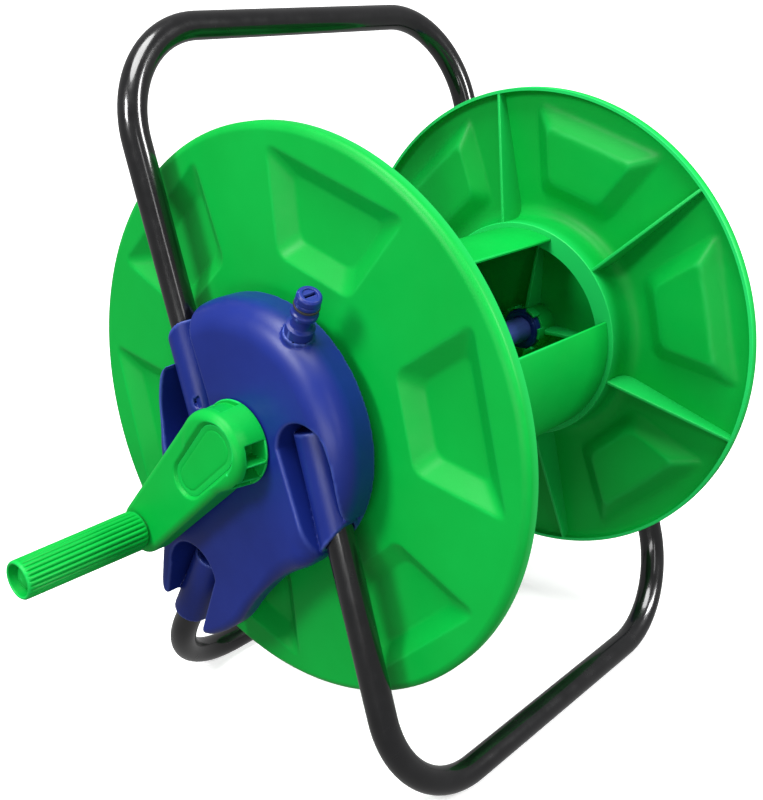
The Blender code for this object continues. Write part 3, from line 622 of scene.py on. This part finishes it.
def moulded(name, base, scratch_and_edge_highlight, deep, rough, shine):
    """Satin moulded polypropylene: slight flow clouding, a painted highlight along outer edges, fine grain
    and handling scratches.
    """
    f = Finish(name)
    cloud = f.noise(11.0, 4.0, 0.6)
    body = f.blend(f.ramp(cloud, 0.35, 0.7, 0.0, 1.0), deep, base)
    # Painted highlight: outer edges are blended towards the lighter colour.
    body = f.blend(f.edges(0.515, 0.60), body, scratch_and_edge_highlight)
    scratch = f.noise(700.0, 2.0, 0.6, f.stretched((1.0, 0.05, 1.3)))
    marks = f.ramp(scratch, 0.74, 0.84, 0.0, 0.07)
    body = f.blend(marks, body, scratch_and_edge_highlight)
    gloss = f.ramp(f.noise(55.0, 5.0, 0.65), 0.3, 0.75, rough - 0.05, rough + 0.07)
    gloss = f.math("ADD", gloss, f.math("MULTIPLY", marks, 0.8))
    fine = f.bump(f.noise(1500.0, 2.0, 0.5), 0.00003, 0.55)
    broad = f.bump(f.noise(24.0, 2.0, 0.4), 0.00035, 0.35, fine)
    f.set(Base_Color=body, Roughness=gloss, Normal=broad, IOR=1.49)
    f.shader.inputs["Specular IOR Level"].default_value = shine
    return f.material


def enamel(name):
    """Gloss black enamel on steel tube: orange peel, dust and a few rubbed places."""
    f = Finish(name)
    cloud = f.noise(30.0, 4.0, 0.6)
    share = f.ramp(cloud, 0.3, 0.75, 0.0, 1.0)
    tone = f.blend(share, (0.002, 0.002, 0.0025, 1), (0.006, 0.006, 0.007, 1))
    rub = f.ramp(f.noise(300.0, 2.0, 0.6), 0.68, 0.78, 0.0, 0.18)
    tone = f.blend(rub, tone, (0.03, 0.03, 0.035, 1))
    gloss = f.ramp(f.noise(75.0, 3.0, 0.55), 0.3, 0.75, 0.16, 0.3)
    peel = f.bump(f.noise(420.0, 2.0, 0.4), 0.00006, 0.35)
    f.set(Base_Color=tone, Roughness=gloss, Normal=peel)
    f.shader.inputs["Coat Weight"].default_value = 0.7
    f.shader.inputs["Coat Roughness"].default_value = 0.07
    return f.material


def rubber(name):
    """Matt black seal rubber."""
    f = Finish(name)
    tone = f.blend(f.noise(200.0, 4.0, 0.6), (0.006, 0.006, 0.006, 1), (0.028, 0.028, 0.027, 1))
    f.set(
        Base_Color=tone, Roughness=f.ramp(f.noise(500.0), 0.3, 0.7, 0.5, 0.8),
        Normal=f.bump(f.noise(1800.0), 0.00004, 0.6),
    )
    return f.material


def acetal(name):
    """Natural white bearing plastic, a little glossier than the mouldings."""
    f = Finish(name)
    tone = f.blend(f.noise(90.0, 4.0, 0.6), (0.62, 0.61, 0.56, 1), (0.80, 0.79, 0.75, 1))
    f.set(
        Base_Color=tone, Roughness=f.ramp(f.noise(260.0), 0.3, 0.7, 0.32, 0.5),
        Normal=f.bump(f.noise(1200.0), 0.00003, 0.5),
    )
    return f.material


def zinc(name):
    """Zinc plated steel with a faint drawn grain."""
    f = Finish(name)
    tone = f.blend(f.noise(240.0, 4.0, 0.6), (0.34, 0.35, 0.36, 1), (0.62, 0.62, 0.63, 1))
    brushed = f.noise(900.0, 2.0, 0.6, f.stretched((0.1, 1.0, 1.0)))
    f.set(
        Base_Color=tone, Metallic=1.0, Roughness=f.ramp(brushed, 0.3, 0.7, 0.22, 0.42),
        Normal=f.bump(brushed, 0.00003, 0.5),
    )
    return f.material


# Each moulding's lighter colour is both the painted highlight on its outer edges and the colour of its
# scratches.
FINISHES = {
    "green_plastic": moulded(
        "green_polypropylene", base=(0.001, 0.39, 0.046, 1), scratch_and_edge_highlight=(0.02, 0.68, 0.15, 1),
        deep=(0.0005, 0.35, 0.038, 1), rough=0.42, shine=0.2,
    ),
    "blue_plastic": moulded(
        "blue_polypropylene", base=(0.008, 0.022, 0.200, 1), scratch_and_edge_highlight=(0.06, 0.10, 0.40, 1),
        deep=(0.005, 0.015, 0.155, 1), rough=0.36, shine=0.4,
    ),
    "black_paint": enamel("black_enamel"),
    "black_rubber": rubber("black_nitrile"),
    "white_acetal": acetal("natural_acetal"),
    "zinc_steel": zinc("zinc_plate"),
}


def finish_piece(obj, body, slot, nodes):
    """Give an object the finish of its slot, tie it to its body and hide the CAD nodes it stands for."""
    obj.data.materials.clear()
    obj.data.materials.append(FINISHES[slot])
    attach(obj, body)
    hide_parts(*nodes)
    return obj


# ---------------------------------------------------------------- flanges


def recess_depth(theta, rho, growth):
    """How far the face is pressed in at an angle and radius."""
    half_turn = SECTOR_TURN / 2.0
    delta = (theta - RECESS_TURN + half_turn) % SECTOR_TURN - half_turn
    radial = rho * np.cos(np.radians(delta))
    sideways = np.abs(rho * np.sin(np.radians(delta)))
    inner = RECESS_INNER - radial
    outer = radial - RECESS_OUTER
    flank = (sideways - RECESS_HALF) * FLANK_NORMAL[0] - (radial - RECESS_INNER) * FLANK_NORMAL[1]
    outside = smax(smax(inner, outer, 6.0), flank, 7.0) - growth
    share = -outside / RECESS_RUN
    return RECESS_DEPTH * smin(smax(share, 0.0, 0.05), 1.0, 0.08)


def flange_shell(piece):
    """The pressed disc with its lip, well and collar, as one closed surface."""
    segments = 624
    face = FLANGE_FACE
    back = face - FLANGE_WALL
    rim = FLANGE_RADIUS
    front = [(LIP_EDGE, rim - 2.6), (LIP_EDGE, rim - 0.4), (LIP_EDGE + 0.6, rim)]
    crease = math.radians(20.0)
    for a in np.radians(range(90, 19, -7)):
        out = (math.sin(a) - math.sin(crease)) / (1.0 - math.sin(crease))
        down = (math.cos(crease) - math.cos(a)) / math.cos(crease)
        front.append((face - RIM_DEPTH * down, rim - RIM_WIDTH * (1.0 - out)))
    flat = [(face, r) for r in np.arange(184.2, 95.2, -1.15)]
    well = [
        (face, 94.2), (face, 70.0), (face, 40.0), (face, 15.2), (face - 0.5, 14.2), (back + 0.3, 14.0),
        (back, 14.6), (back, 40.0), (back, 70.0), (back, 83.0), (back - 0.6, 84.4), (back - 2.2, 85.1),
        (120.8, 84.9), (120.2, 84.7), (120.0, 84.2), (120.0, COLLAR_BORE + 0.8),
        (119.8, COLLAR_BORE + 0.2), (119.3, COLLAR_BORE), (COLLAR_END + 0.6, COLLAR_BORE),
        (COLLAR_END, COLLAR_BORE + 0.5), (COLLAR_END, COLLAR_RADIUS - 0.5),
        (COLLAR_END + 0.5, COLLAR_RADIUS), (133.0, COLLAR_RADIUS + 0.2), (138.0, 89.0), (141.3, 90.8),
        (143.5, 93.4), (144.7, 96.4),
    ]
    rear = [(back, r) for r in np.concatenate([[99.0], np.arange(101.5, 182.0, 3.1), [182.8]])]
    close = [(back - 0.4, 184.8), (back - 1.7, 186.5), (back - 3.4, 187.3), (139.0, rim - 2.6)]
    theta = np.arange(segments) * 360.0 / segments
    turn = np.radians(theta)
    points = []
    for rows, growth in ((front, None), (flat, 0.0), (well, None), (rear, 1.2), (close, None)):
        for u, r in rows:
            deep = np.zeros(segments) if growth is None else recess_depth(theta, r, growth)
            points.append(np.stack([u - deep, -r * np.sin(turn), r * np.cos(turn)], 1))
    faces = rings_to_faces(len(points), segments, closed_loop=True)
    return piece.add(np.concatenate(points), faces)


def spoke_thickness(r):
    """Spokes taper from the hub to the collar."""
    return 3.4 - 1.5 * min(max((r - 14.0) / 73.0, 0.0), 1.0)


def flange(name, side):
    """One flange with its ribs, hub, spokes, the fingers round the hub and the tabs of the drum."""
    piece = Piece(name)
    flange_shell(piece)
    for k in range(SECTORS):
        rib = [
            (SPOKE_FOOT, 86.4), (118.1, 86.4), (118.1, 89.2), (137.6, 188.2), (143.4, 188.2),
            (SPOKE_FOOT, 186.0),
        ]
        plate(piece, rib, lambda r: RIB_THICKNESS, RIB_TURN + SECTOR_TURN * k, 0.7)
        finger = [(128.0, 16.9), (120.2, 16.9), (119.2, 17.4), (119.2, 19.4), (128.0, 19.4)]
        sector(piece, finger, 18.0 + SECTOR_TURN * k, 28.0, 8, 0.45)
    lathe(piece, [(147.2, 10.6), (126.5, 10.6), (126.5, 17.5), (147.2, 17.5)], 96, 0.8)
    for k in range(SPOKES):
        spoke = [(SPOKE_FOOT, 14.0), (126.6, 14.0), (141.0, 86.4), (SPOKE_FOOT, 86.4)]
        plate(piece, spoke, spoke_thickness, SPOKE_TURN + 360.0 / SPOKES * k, 0.6)
    for start in (140.0, 215.0, 290.0):
        tab = [(118.5, 77.4), (111.0, 77.4), (111.0, 80.8), (118.5, 80.8)]
        sector(piece, tab, start, 20.0, 6, 0.5)
    return finish_piece(piece.build(side, 0.0), "reel", "green_plastic", [name])


def drum():
    """The winding drum: a tube with one long window, whose two long edges are eased."""
    piece = Piece("drum_shell")
    steps = 220
    inside = DRUM_RADIUS - DRUM_WALL
    start, end = WINDOW[1], WINDOW[0] + 360.0
    outer = arc((0.0, 0.0), DRUM_RADIUS, start + 0.5, end - 0.5, steps)
    inner = arc((0.0, 0.0), inside, end - 0.5, start + 0.5, steps)
    edge = [(0.02, DRUM_RADIUS - 0.7), (0.0, DRUM_RADIUS - 1.4), (0.02, inside + 0.7)]
    ends = [polar(end - ease, radius) for ease, radius in edge]
    starts = [polar(start + ease, radius) for ease, radius in reversed(edge)]
    outline = outer + ends + inner + starts
    capped(piece, [(u, outline) for u in (DRUM_END, 40.0, -40.0, -DRUM_END)])
    return finish_piece(piece.build(-1, 0.0), "reel", "green_plastic", ["drum_shell"])


# ---------------------------------------------------------------- stand


def tube(name, leg, bar):
    """A steel tube bent into a U, from one bracket to the other, open at both ends."""
    start = Vector((0.0, leg[0], leg[1]))
    reach = Vector((0.0, bar[0], bar[1])) - start
    out = reach.normalized()
    path = [(LEG_U, 0.0), (LEG_U, reach.length - BEND_RADIUS - 60.0)]
    for turn in np.linspace(0.0, math.pi / 2.0, 25):
        across = LEG_U - BEND_RADIUS * (1 - math.cos(turn))
        path.append((across, reach.length - BEND_RADIUS * (1 - math.sin(turn))))
    path += [(60.0, reach.length)]
    path += [(-FAR_OFFSET - across, along) for across, along in reversed(path)]
    turns = [2 * math.pi * n / TUBE_SIDES for n in range(TUBE_SIDES)]
    normal = Vector((1, 0, 0)).cross(out)
    rings = []
    for k, (across, along) in enumerate(path):
        before = Vector(path[max(k - 1, 0)])
        after = Vector(path[min(k + 1, len(path) - 1)])
        step = (after - before).normalized()
        tangent = Vector((1, 0, 0)) * step.x + out * step.y
        inward = normal.cross(tangent)
        centre = start + Vector((1, 0, 0)) * across + out * along
        loops = []
        for radius in (TUBE_RADIUS, TUBE_RADIUS - TUBE_WALL):
            ways = [inward * math.cos(a) + normal * math.sin(a) for a in turns]
            loops.append([tuple(centre + way * radius) for way in ways])
        rings.append(loops)
    ordered = [loops[0] for loops in rings] + [loops[1] for loops in rings[::-1]]
    points = [point for ring in ordered for point in ring]
    piece = Piece(name)
    piece.add(points, rings_to_faces(len(ordered), TUBE_SIDES, closed_loop=True))
    return finish_piece(piece.build(-1, 0.0), "stand", "black_paint", [name])


FRONT_POCKET = (
    fillet([
        (-83.0, -62.0), (-77.8, -41.0), (-79.2, -23.6), (-79.2, -14.6), (-78.6, -4.6), (-76.8, 5.4),
        (-74.0, 13.6), (-70.4, 20.2),
    ], 5.0)[3:-3]
    + arc((-57.4, 4.2), 20.6, 40.0, -90.0, 28) + [(-60.0, -58.0), (-71.0, -86.0)]
)
HANDLE_POCKET = (
    fillet([(27.0, -30.0), (22.0, 12.0), (42.6, 66.0), (49.0, 84.0), (90.0, 84.0), (90.0, 33.0)], 14.0)[3:]
    + arc((0.0, 0.0), 77.5, -66.0, -112.0, 16)
)
REAR_POCKET = (
    [(108.0, -144.0), (82.0, -141.0)] + arc((52.5, -115.0), 23.6, -90.0, 80.0, 28)
    + [(46.5, -157.0), (62.0, -190.0)]
)
TAIL = fillet([
    (76.0, -20.0), (79.0, -98.0), (82.5, -117.0), (86.0, -141.0), (66.0, -150.0), (46.0, -157.5),
    (27.0, -146.0), (14.0, -134.5), (-1.0, -113.0), (-17.0, -94.5), (-36.0, -76.5), (-53.5, -66.0),
    (-30.0, 0.0), (30.0, 0.0),
], 9.0)


def inlet_axis():
    """Where the inlet leaves the bracket, and which way it points."""
    y, z = polar(INLET_BASE[1], INLET_BASE[2])
    out_y, out_z = polar(INLET_BASE[1], 1.0)
    return Vector((INLET_BASE[0], y, z)), Vector((INLET_TILT, out_y, out_z)).normalized()


def leg_run(leg, bar):
    """Direction of a tube's leg, from its end in the bracket towards its bar."""
    return Vector((0.0, bar[0] - leg[0], bar[1] - leg[1])).normalized()


def bracket_field(far):
    """Field of a bracket: a hollow dome and tail, three open pockets, sleeves, boss and bores."""
    inlet, inlet_way = inlet_axis()
    sockets = []
    for leg, bar, reach in (HANDLE, FRONT_FOOT, REAR_FOOT):
        sockets.append((Vector((LEG_U, leg[0], leg[1])), leg_run(leg, bar), reach))
    boss_back = FAR_BOSS_BACK if far else CRANK_BOSS_BACK

    def field(u, y, z):
        r = np.hypot(y, z)
        dome = r - DOME_RADIUS
        tail = polygon(y, z, TAIL) - TAIL_MARGIN
        share = np.clip(0.5 + (tail - dome) / 40.0, 0.0, 1.0)
        share = share * share * (3.0 - 2.0 * share)
        shell = overlap(smin(dome, tail, 10.0), u - BRACKET_FACE, 6.0 + 14.0 * share)
        low_down = np.clip((-62.0 - z) / 20.0, 0.0, 1.0)
        to_front = np.clip((36.0 - y) / 14.0, 0.0, 1.0)
        shell = smax(shell, BRACKET_BACK + TAIL_LIFT * low_down * to_front - u, 1.0)
        hollow = shell + BRACKET_WALL
        mouths = None
        for outline in (FRONT_POCKET, HANDLE_POCKET, REAR_POCKET):
            pocket = polygon(y, z, outline)
            hollow = np.maximum(hollow, POCKET_WALL - pocket)
            mouth = smax(pocket, POCKET_FLOOR - u, 1.6)
            mouths = mouth if mouths is None else np.minimum(mouths, mouth)
        hollow = np.maximum(hollow, -np.maximum(r - BOSS_RADIUS, boss_back - u))
        body = smax(shell, -hollow, 0.8)
        body = smax(body, -mouths, 2.6)
        for start, run, reach in sockets:
            sleeve = rod(u, y, z, start - run * 3.0, start + run * reach, SLEEVE_RADIUS, 0.9)
            if reach != REAR_FOOT[2]:
                sleeve = overlap(sleeve, dome + 0.8, 0.9)
            body = smin(body, sleeve, 1.2)
        body = smax(body, BRACKET_BACK - u, 0.8)
        for start, run, reach in sockets:
            bore = rod(u, y, z, start - run * 0.3, start + run * (reach + 60.0), SOCKET_BORE)
            body = smax(body, -bore, 0.5)
            place = start + run * SCREW_SETBACK
            screw = np.maximum(np.hypot(y - place.y, z - place.z) - SCREW_HOLE, u - LEG_U)
            body = smax(body, -screw, 0.4)
        sight = np.hypot(y - SIGHT_HOLE[0], z - SIGHT_HOLE[1]) - SIGHT_HOLE_RADIUS
        body = smax(body, -np.maximum(sight, SIGHT_HOLE_FLOOR - u), 0.6)
        bearing = r - BEARING_BORE
        if far:
            return smax(body, -np.maximum(bearing, u - FAR_BEARING_END), 0.5)
        body = smax(body, -bearing, 0.5)
        boss = rod(u, y, z, inlet - inlet_way * 8.0, inlet + inlet_way * 1.9, INLET_BOSS, 0.6)
        bore = rod(u, y, z, inlet - inlet_way * 19.0, inlet + inlet_way * 5.0, INLET_BORE)
        return smax(smin(body, boss, 1.2), -bore, 0.2)

    return field


def bracket(name, side):
    """One bracket; the far one sits further out and has no inlet."""
    step = 1.47
    far = side > 0
    low, high = (156.0, -91.5, -168.5), (192.0, 102.5, 92.0)
    piece = field_piece(name, bracket_field(far), low, high, step)
    offset = FAR_OFFSET if far else 0.0
    obj = piece.build(side, offset, 180.0)
    shade_by_field(obj, piece, side, offset)
    return finish_piece(obj, "stand", "blue_plastic", [name])


# ---------------------------------------------------------------- water way


def inlet():
    """The quick connector on the bracket, with the two half-moon leaves in its mouth."""
    piece = Piece("inlet_nipple")
    profile = [
        (-20.0, 4.2), (-20.0, 7.6), (1.8, 7.6), (2.0, 8.8), (8.8, 8.9), (9.6, 6.6), (11.5, 6.1),
        (15.0, 6.0), (17.4, 6.6), (18.4, 8.4), (20.6, 8.4), (21.6, 7.2), (24.2, 7.2), (24.2, 6.2),
        (26.6, 6.2), (26.6, 7.7), (28.6, 7.75), (29.0, 7.45), (29.8, 7.45), (30.2, 7.75), (33.2, 7.6),
        (34.5, 6.5), (34.5, 4.6), (33.6, 4.2),
    ]
    lathe(piece, profile, 96, 0.35)
    along_axis(piece, *inlet_axis())
    lean = math.radians(35.0)
    cosine, sine = math.cos(lean), math.sin(lean)
    for side in (-1.0, 1.0):
        outline = []
        for turn in np.radians(range(10, 171, 8)):
            a, b = side * (0.55 + 3.95 * math.sin(turn)), 4.45 * math.cos(turn)
            outline.append((a * cosine - b * sine, a * sine + b * cosine))
        eased = [(a * 0.97, b * 0.97) for a, b in outline]
        capped(piece, [(31.6, outline), (33.3, outline), (33.6, eased)])
        along_axis(piece, *inlet_axis())
    return finish_piece(piece.build(-1, 0.0), "stand", "blue_plastic", ["inlet_nipple"])


def outlet_axis():
    """Where the outlet's branch leaves the axle's line, and which way it points."""
    y, z = polar(OUTLET_ANGLE, 1.0)
    return Vector((OUTLET_U, 0.0, 0.0)), Vector((0.0, y, z))


def o_rings():
    """The rubber ring on each of the two connectors."""
    piece = Piece("inlet_oring")
    lathe(piece, [(24.5, 6.5), (24.5, 7.8), (25.4, 8.2), (26.3, 7.8), (26.3, 6.5)], 96, 0.5)
    along_axis(piece, *inlet_axis())
    finish_piece(piece.build(-1, 0.0), "stand", "black_rubber", ["inlet_oring"])
    piece = Piece("outlet_oring")
    lathe(piece, [(59.8, 6.7), (59.8, 8.1), (60.7, 8.6), (61.6, 8.1), (61.6, 6.7)], 96, 0.5)
    along_axis(piece, *outlet_axis())
    finish_piece(piece.build(1, 0.0), "reel", "black_rubber", ["outlet_oring"])


def outlet():
    """The connector inside the drum that the hose pushes onto."""
    piece = Piece("outlet_nipple")
    profile = [
        (40.4, 4.2), (40.4, 9.6), (45.0, 9.6), (45.8, 7.1), (52.5, 6.8), (54.0, 8.9), (56.0, 8.9),
        (57.0, 7.4), (59.5, 7.4), (59.5, 6.4), (61.9, 6.4), (61.9, 7.9), (68.2, 7.6), (69.4, 6.6),
        (69.4, 4.6), (68.6, 4.2),
    ]
    lathe(piece, profile, 96, 0.35)
    along_axis(piece, *outlet_axis())
    return finish_piece(piece.build(1, 0.0), "reel", "blue_plastic", ["outlet_nipple"])


def axle_end_disc():
    """The axle's flange, held by the fingers of the far hub."""
    piece = Piece("axle_end_disc")
    profile = [
        (120.4, 10.6), (120.4, 14.2), (120.9, 14.6), (120.9, 15.4), (121.4, 16.4), (126.2, 16.4),
        (126.2, 10.6),
    ]
    lathe(piece, profile, 128, 0.4)
    return finish_piece(piece.build(1, 0.0), "reel", "blue_plastic", ["axle_end_disc"])


# ---------------------------------------------------------------- crank and grip


def crank_field(u, y, z):
    """Field of the crank: a hollow tapered arm, its hub's windows, the panel's recess and the bores."""
    along = y * CRANK_ALONG.x + z * CRANK_ALONG.y
    across = y * CRANK_ACROSS.x + z * CRANK_ACROSS.y
    r = np.hypot(y, z)
    tip_r = np.hypot(across, along - CRANK_LENGTH)
    outline = egg(along, np.abs(across), 0.0, CRANK_LENGTH, CRANK_HUB, CRANK_TIP)
    arm = overlap(outline, u - CRANK_FACE, 4.5)
    shift_y, shift_z = polar(*HUB_SHIFT)
    hub_r = np.hypot(y - shift_y, z - shift_z)
    hub = overlap((hub_r - HUB_RADIUS + HUB_DRAFT * (u - CRANK_BACK)) * 0.99, u - CRANK_FACE, 5.0)
    body = smin(arm, hub, 3.0)
    under = (CRANK_BACK + np.maximum(along - UNDER_START, 0.0) * UNDER_SLOPE - u) * 0.99
    body = smax(body, under, 1.2)
    hollow = np.maximum(outline + CRANK_WALL, u - CRANK_FACE + CRANK_FACE_WALL)
    hollow = np.maximum(hollow, HUB_CORE - r)
    hollow = np.maximum(hollow, TIP_BOSS - tip_r)
    theta = np.degrees(np.arctan2(-y, z))
    body = smax(body, -hollow, 0.8)
    cuts = None
    for start, end, depth, top in HUB_OPENINGS:
        middle = (start + end) / 2.0
        half = math.radians((end - start) / 2.0)
        delta = np.radians((theta - middle + 180.0) % 360.0 - 180.0)
        wide = (np.abs(delta) - half) * 26.0
        tall = np.abs(u - (top + OPENING_BOTTOM) / 2.0) - (top - OPENING_BOTTOM) / 2.0
        window = smax(smax(wide, tall, 1.0), depth - r, 0.8)
        cuts = window if cuts is None else np.minimum(cuts, window)
    body = smax(body, -cuts, 0.9)
    near, far, shift, big, small = CAP
    cap = egg(along, np.abs(across - shift), near, far, big, small)
    slope = (cap + (CRANK_FACE - u) * 0.8) * 0.78
    body = smax(body, -np.maximum(slope, CRANK_FACE - CAP_DEPTH - u), 0.7)
    body = np.maximum(body, -np.maximum(r - WASHER_BORE, WASHER_SEAT - u))
    key = np.maximum(r - AXLE_HOLE, np.abs(y) - AXLE_FLATS)
    body = np.maximum(body, -np.maximum(key, u - AXLE_HOLE_END))
    body = np.maximum(body, SCREW_BORE - r)
    return smax(body, SPINDLE_BORE - tip_r, 0.5)


def crank():
    """The green crank, without the panel in its face."""
    step = 0.62
    piece = field_piece("crank_arm", crank_field, (189.0, -31.0, -98.0), (216.0, 95.0, 31.5), step)
    obj = piece.build(-1, 0.0, 180.0)
    shade_by_field(obj, piece, -1, 0.0)
    return finish_piece(obj, "reel", "green_plastic", ["crank_arm"])


def crank_cap():
    """Plain panel in the crank's recess, with a shallow line inside its edge."""
    piece = Piece("crank_cap")
    top = CRANK_FACE - 0.8
    sections = [
        (CRANK_FACE - 2.95, 2.6), (top - 1.25, 1.9), (top - 1.12, 2.05), (top - 1.08, 2.4),
        (top - 1.05, 5.0), (top - 1.2, 5.3), (top - 1.25, 5.6), (top - 1.2, 5.9), (top - 1.0, 6.2),
        (top - 0.95, 7.2), (top - 0.9, 9.0),
    ]
    capped(piece, [(u, cap_outline(inset)) for u, inset in sections])
    return finish_piece(piece.build(-1, 0.0), "reel", "green_plastic", ["crank_cap"])


def grip_wave(u, radius, turns):
    """Rounded lands with narrow grooves, fading out at the grip's ends."""
    share = np.clip((u - 216.4) / 3.5, 0.0, 1.0) * np.clip((305.6 - u) / 3.0, 0.0, 1.0)
    wave = np.abs(np.sin(turns * GRIP_LANDS / 2.0)) ** 0.55
    groove = (1.0 - wave) * 1.6 * share
    return np.where(radius > 11.5, radius - groove, radius)


def grip():
    """The fluted grip, with the hollow at its outer end."""
    piece = Piece("grip")
    outer = [(215.9, 11.7), (216.0, 12.2), (216.5, 12.9), (217.4, 13.4), (219.0, 13.8)]
    outer += [(u, 14.0 - 0.9 * (u - 220.0) / 84.0) for u in np.linspace(221.0, 303.0, 22)]
    outer += [(304.6, 13.1), (305.8, 12.95), (306.5, 12.6), (306.9, 12.2), (307.0, 11.7)]
    inner = [(307.0, 11.3), (306.8, 10.9), (306.4, 10.7), (305.6, 10.6), (299.5, 10.3), (299.1, 10.0)]
    inner += [(299.0, 9.6), (299.0, 5.4), (298.7, 5.07), (218.0, 5.07), (217.9, 5.2), (216.1, 5.4)]
    inner += [(215.9, 5.8)]
    lathe(piece, outer + inner, 576, 0.0, grip_wave)
    obj = piece.build(-1, 0.0, 50.0, CRANK_THROW)
    return finish_piece(obj, "grip_body", "green_plastic", ["grip"])


def grip_spindle():
    """The pin that the grip turns on, with its domed head."""
    piece = Piece("grip_spindle")
    head = 299.3
    dome = [(head + 5.0 * math.cos(a), 8.8 * math.sin(a)) for a in np.radians(np.arange(4.0, 91.0, 7.0))]
    profile = [(head + 5.0, 0.02)] + dome + [(head, 8.8), (head, 5.0), (214.8, 5.0), (214.8, 4.0)]
    profile += [(197.0, 4.0), (197.0, 0.02)]
    lathe(piece, profile, 96)
    obj = piece.build(-1, 0.0, 40.0, CRANK_THROW)
    return finish_piece(obj, "reel", "green_plastic", ["grip_spindle"])


# ---------------------------------------------------------------- stage


def stage():
    """Pale floor, soft lights and the camera of the photograph."""
    scene = bpy.context.scene
    bm = bmesh.new()
    bmesh.ops.create_circle(bm, cap_ends=True, segments=96, radius=60.0)
    mesh = bpy.data.meshes.new("floor")
    bm.to_mesh(mesh)
    bm.free()
    floor = bpy.data.objects.new("floor", mesh)
    floor.location.z = -0.0002
    scene.collection.objects.link(floor)
    f = Finish("pale_floor")
    tone = f.blend(f.noise(1.5, 3.0, 0.5), (0.90, 0.90, 0.90, 1), (0.93, 0.93, 0.93, 1))
    f.set(Base_Color=tone, Roughness=0.6)
    f.shader.inputs["Specular IOR Level"].default_value = 0.2
    f.shader.inputs["Emission Color"].default_value = (1.0, 1.0, 1.0, 1.0)
    f.shader.inputs["Emission Strength"].default_value = 0.45
    floor.data.materials.append(f.material)
    floor.visible_glossy = False
    floor.visible_diffuse = False

    world = bpy.data.worlds.new("studio")
    world.use_nodes = True
    world.node_tree.nodes["Background"].inputs["Color"].default_value = (1.0, 1.0, 1.0, 1.0)
    world.node_tree.nodes["Background"].inputs["Strength"].default_value = 0.26
    scene.world = world
    scene.view_settings.view_transform = "Standard"

    target = AXIS.copy()
    lamps = (
        ("key_softbox", (-1.6, 0.15, 1.1), 0.4, 0.5, 22.0),
        ("low_softbox", (-1.5, -0.7, -0.05), 1.0, 0.3, 6.0),
        ("side_softbox", (0.6, -1.6, 1.0), 0.4, 0.9, 30.0),
        ("fill_softbox", (-1.1, -1.8, 0.6), 0.25, 1.1, 3.5),
    )
    for name, place, width, height, power in lamps:
        data = bpy.data.lights.new(name, "AREA")
        data.shape = "RECTANGLE"
        data.size = width
        data.size_y = height
        data.energy = power
        lamp = bpy.data.objects.new(name, data)
        lamp.location = AXIS + Vector(place)
        lamp.rotation_euler = (target - lamp.location).to_track_quat("-Z", "Y").to_euler()
        scene.collection.objects.link(lamp)

    data = bpy.data.lights.new("overhead", "SUN")
    data.energy = 4.0
    data.angle = math.radians(40.0)
    sun = bpy.data.objects.new("overhead", data)
    sun.rotation_euler = Vector((0.20, 0.06, -0.98)).to_track_quat("-Z", "Y").to_euler()
    scene.collection.objects.link(sun)

    yaw, pitch = CAMERA_AIM
    place = AXIS + Vector(CAMERA_PLACE)
    ahead = Vector((math.cos(pitch) * math.cos(yaw), math.cos(pitch) * math.sin(yaw), math.sin(pitch)))
    right = ahead.cross(Vector((0, 0, 1))).normalized()
    up = right.cross(ahead)
    data = bpy.data.cameras.new("camera")
    data.lens = CAMERA_LENS
    data.sensor_width = 36.0
    data.clip_end = 200.0
    camera = bpy.data.objects.new("camera", data)
    camera.matrix_world = Matrix((
        (right.x, up.x, -ahead.x, place.x),
        (right.y, up.y, -ahead.y, place.y),
        (right.z, up.z, -ahead.z, place.z),
        (0, 0, 0, 1),
    ))
    scene.collection.objects.link(camera)
    scene.camera = camera


CAD_FINISHES = {
    "screw": "zinc_steel", "crank_washer": "zinc_steel", "bush": "white_acetal",
    "grip_washer": "white_acetal", "seal": "black_rubber", "manifold": "blue_plastic",
    "outlet_tee": "blue_plastic", "axle_tube": "blue_plastic",
}


def dress_cad():
    """The parts inside keep their CAD shape and get a real finish; later words decide over earlier ones."""
    for name, obj in frame["nodes"].items():
        for word, slot in CAD_FINISHES.items():
            if word in name:
                for holder in obj.material_slots:
                    holder.material = FINISHES[slot]


dress_cad()
flange("crank_side_flange", -1)
flange("far_side_flange", 1)
drum()
tube("handle_tube", HANDLE[0], HANDLE[1])
tube("front_foot_tube", FRONT_FOOT[0], FRONT_FOOT[1])
tube("rear_foot_tube", REAR_FOOT[0], REAR_FOOT[1])
bracket("crank_side_bracket", -1)
bracket("far_side_bracket", 1)
inlet()
o_rings()
outlet()
axle_end_disc()
crank()
crank_cap()
grip()
grip_spindle()
stage()
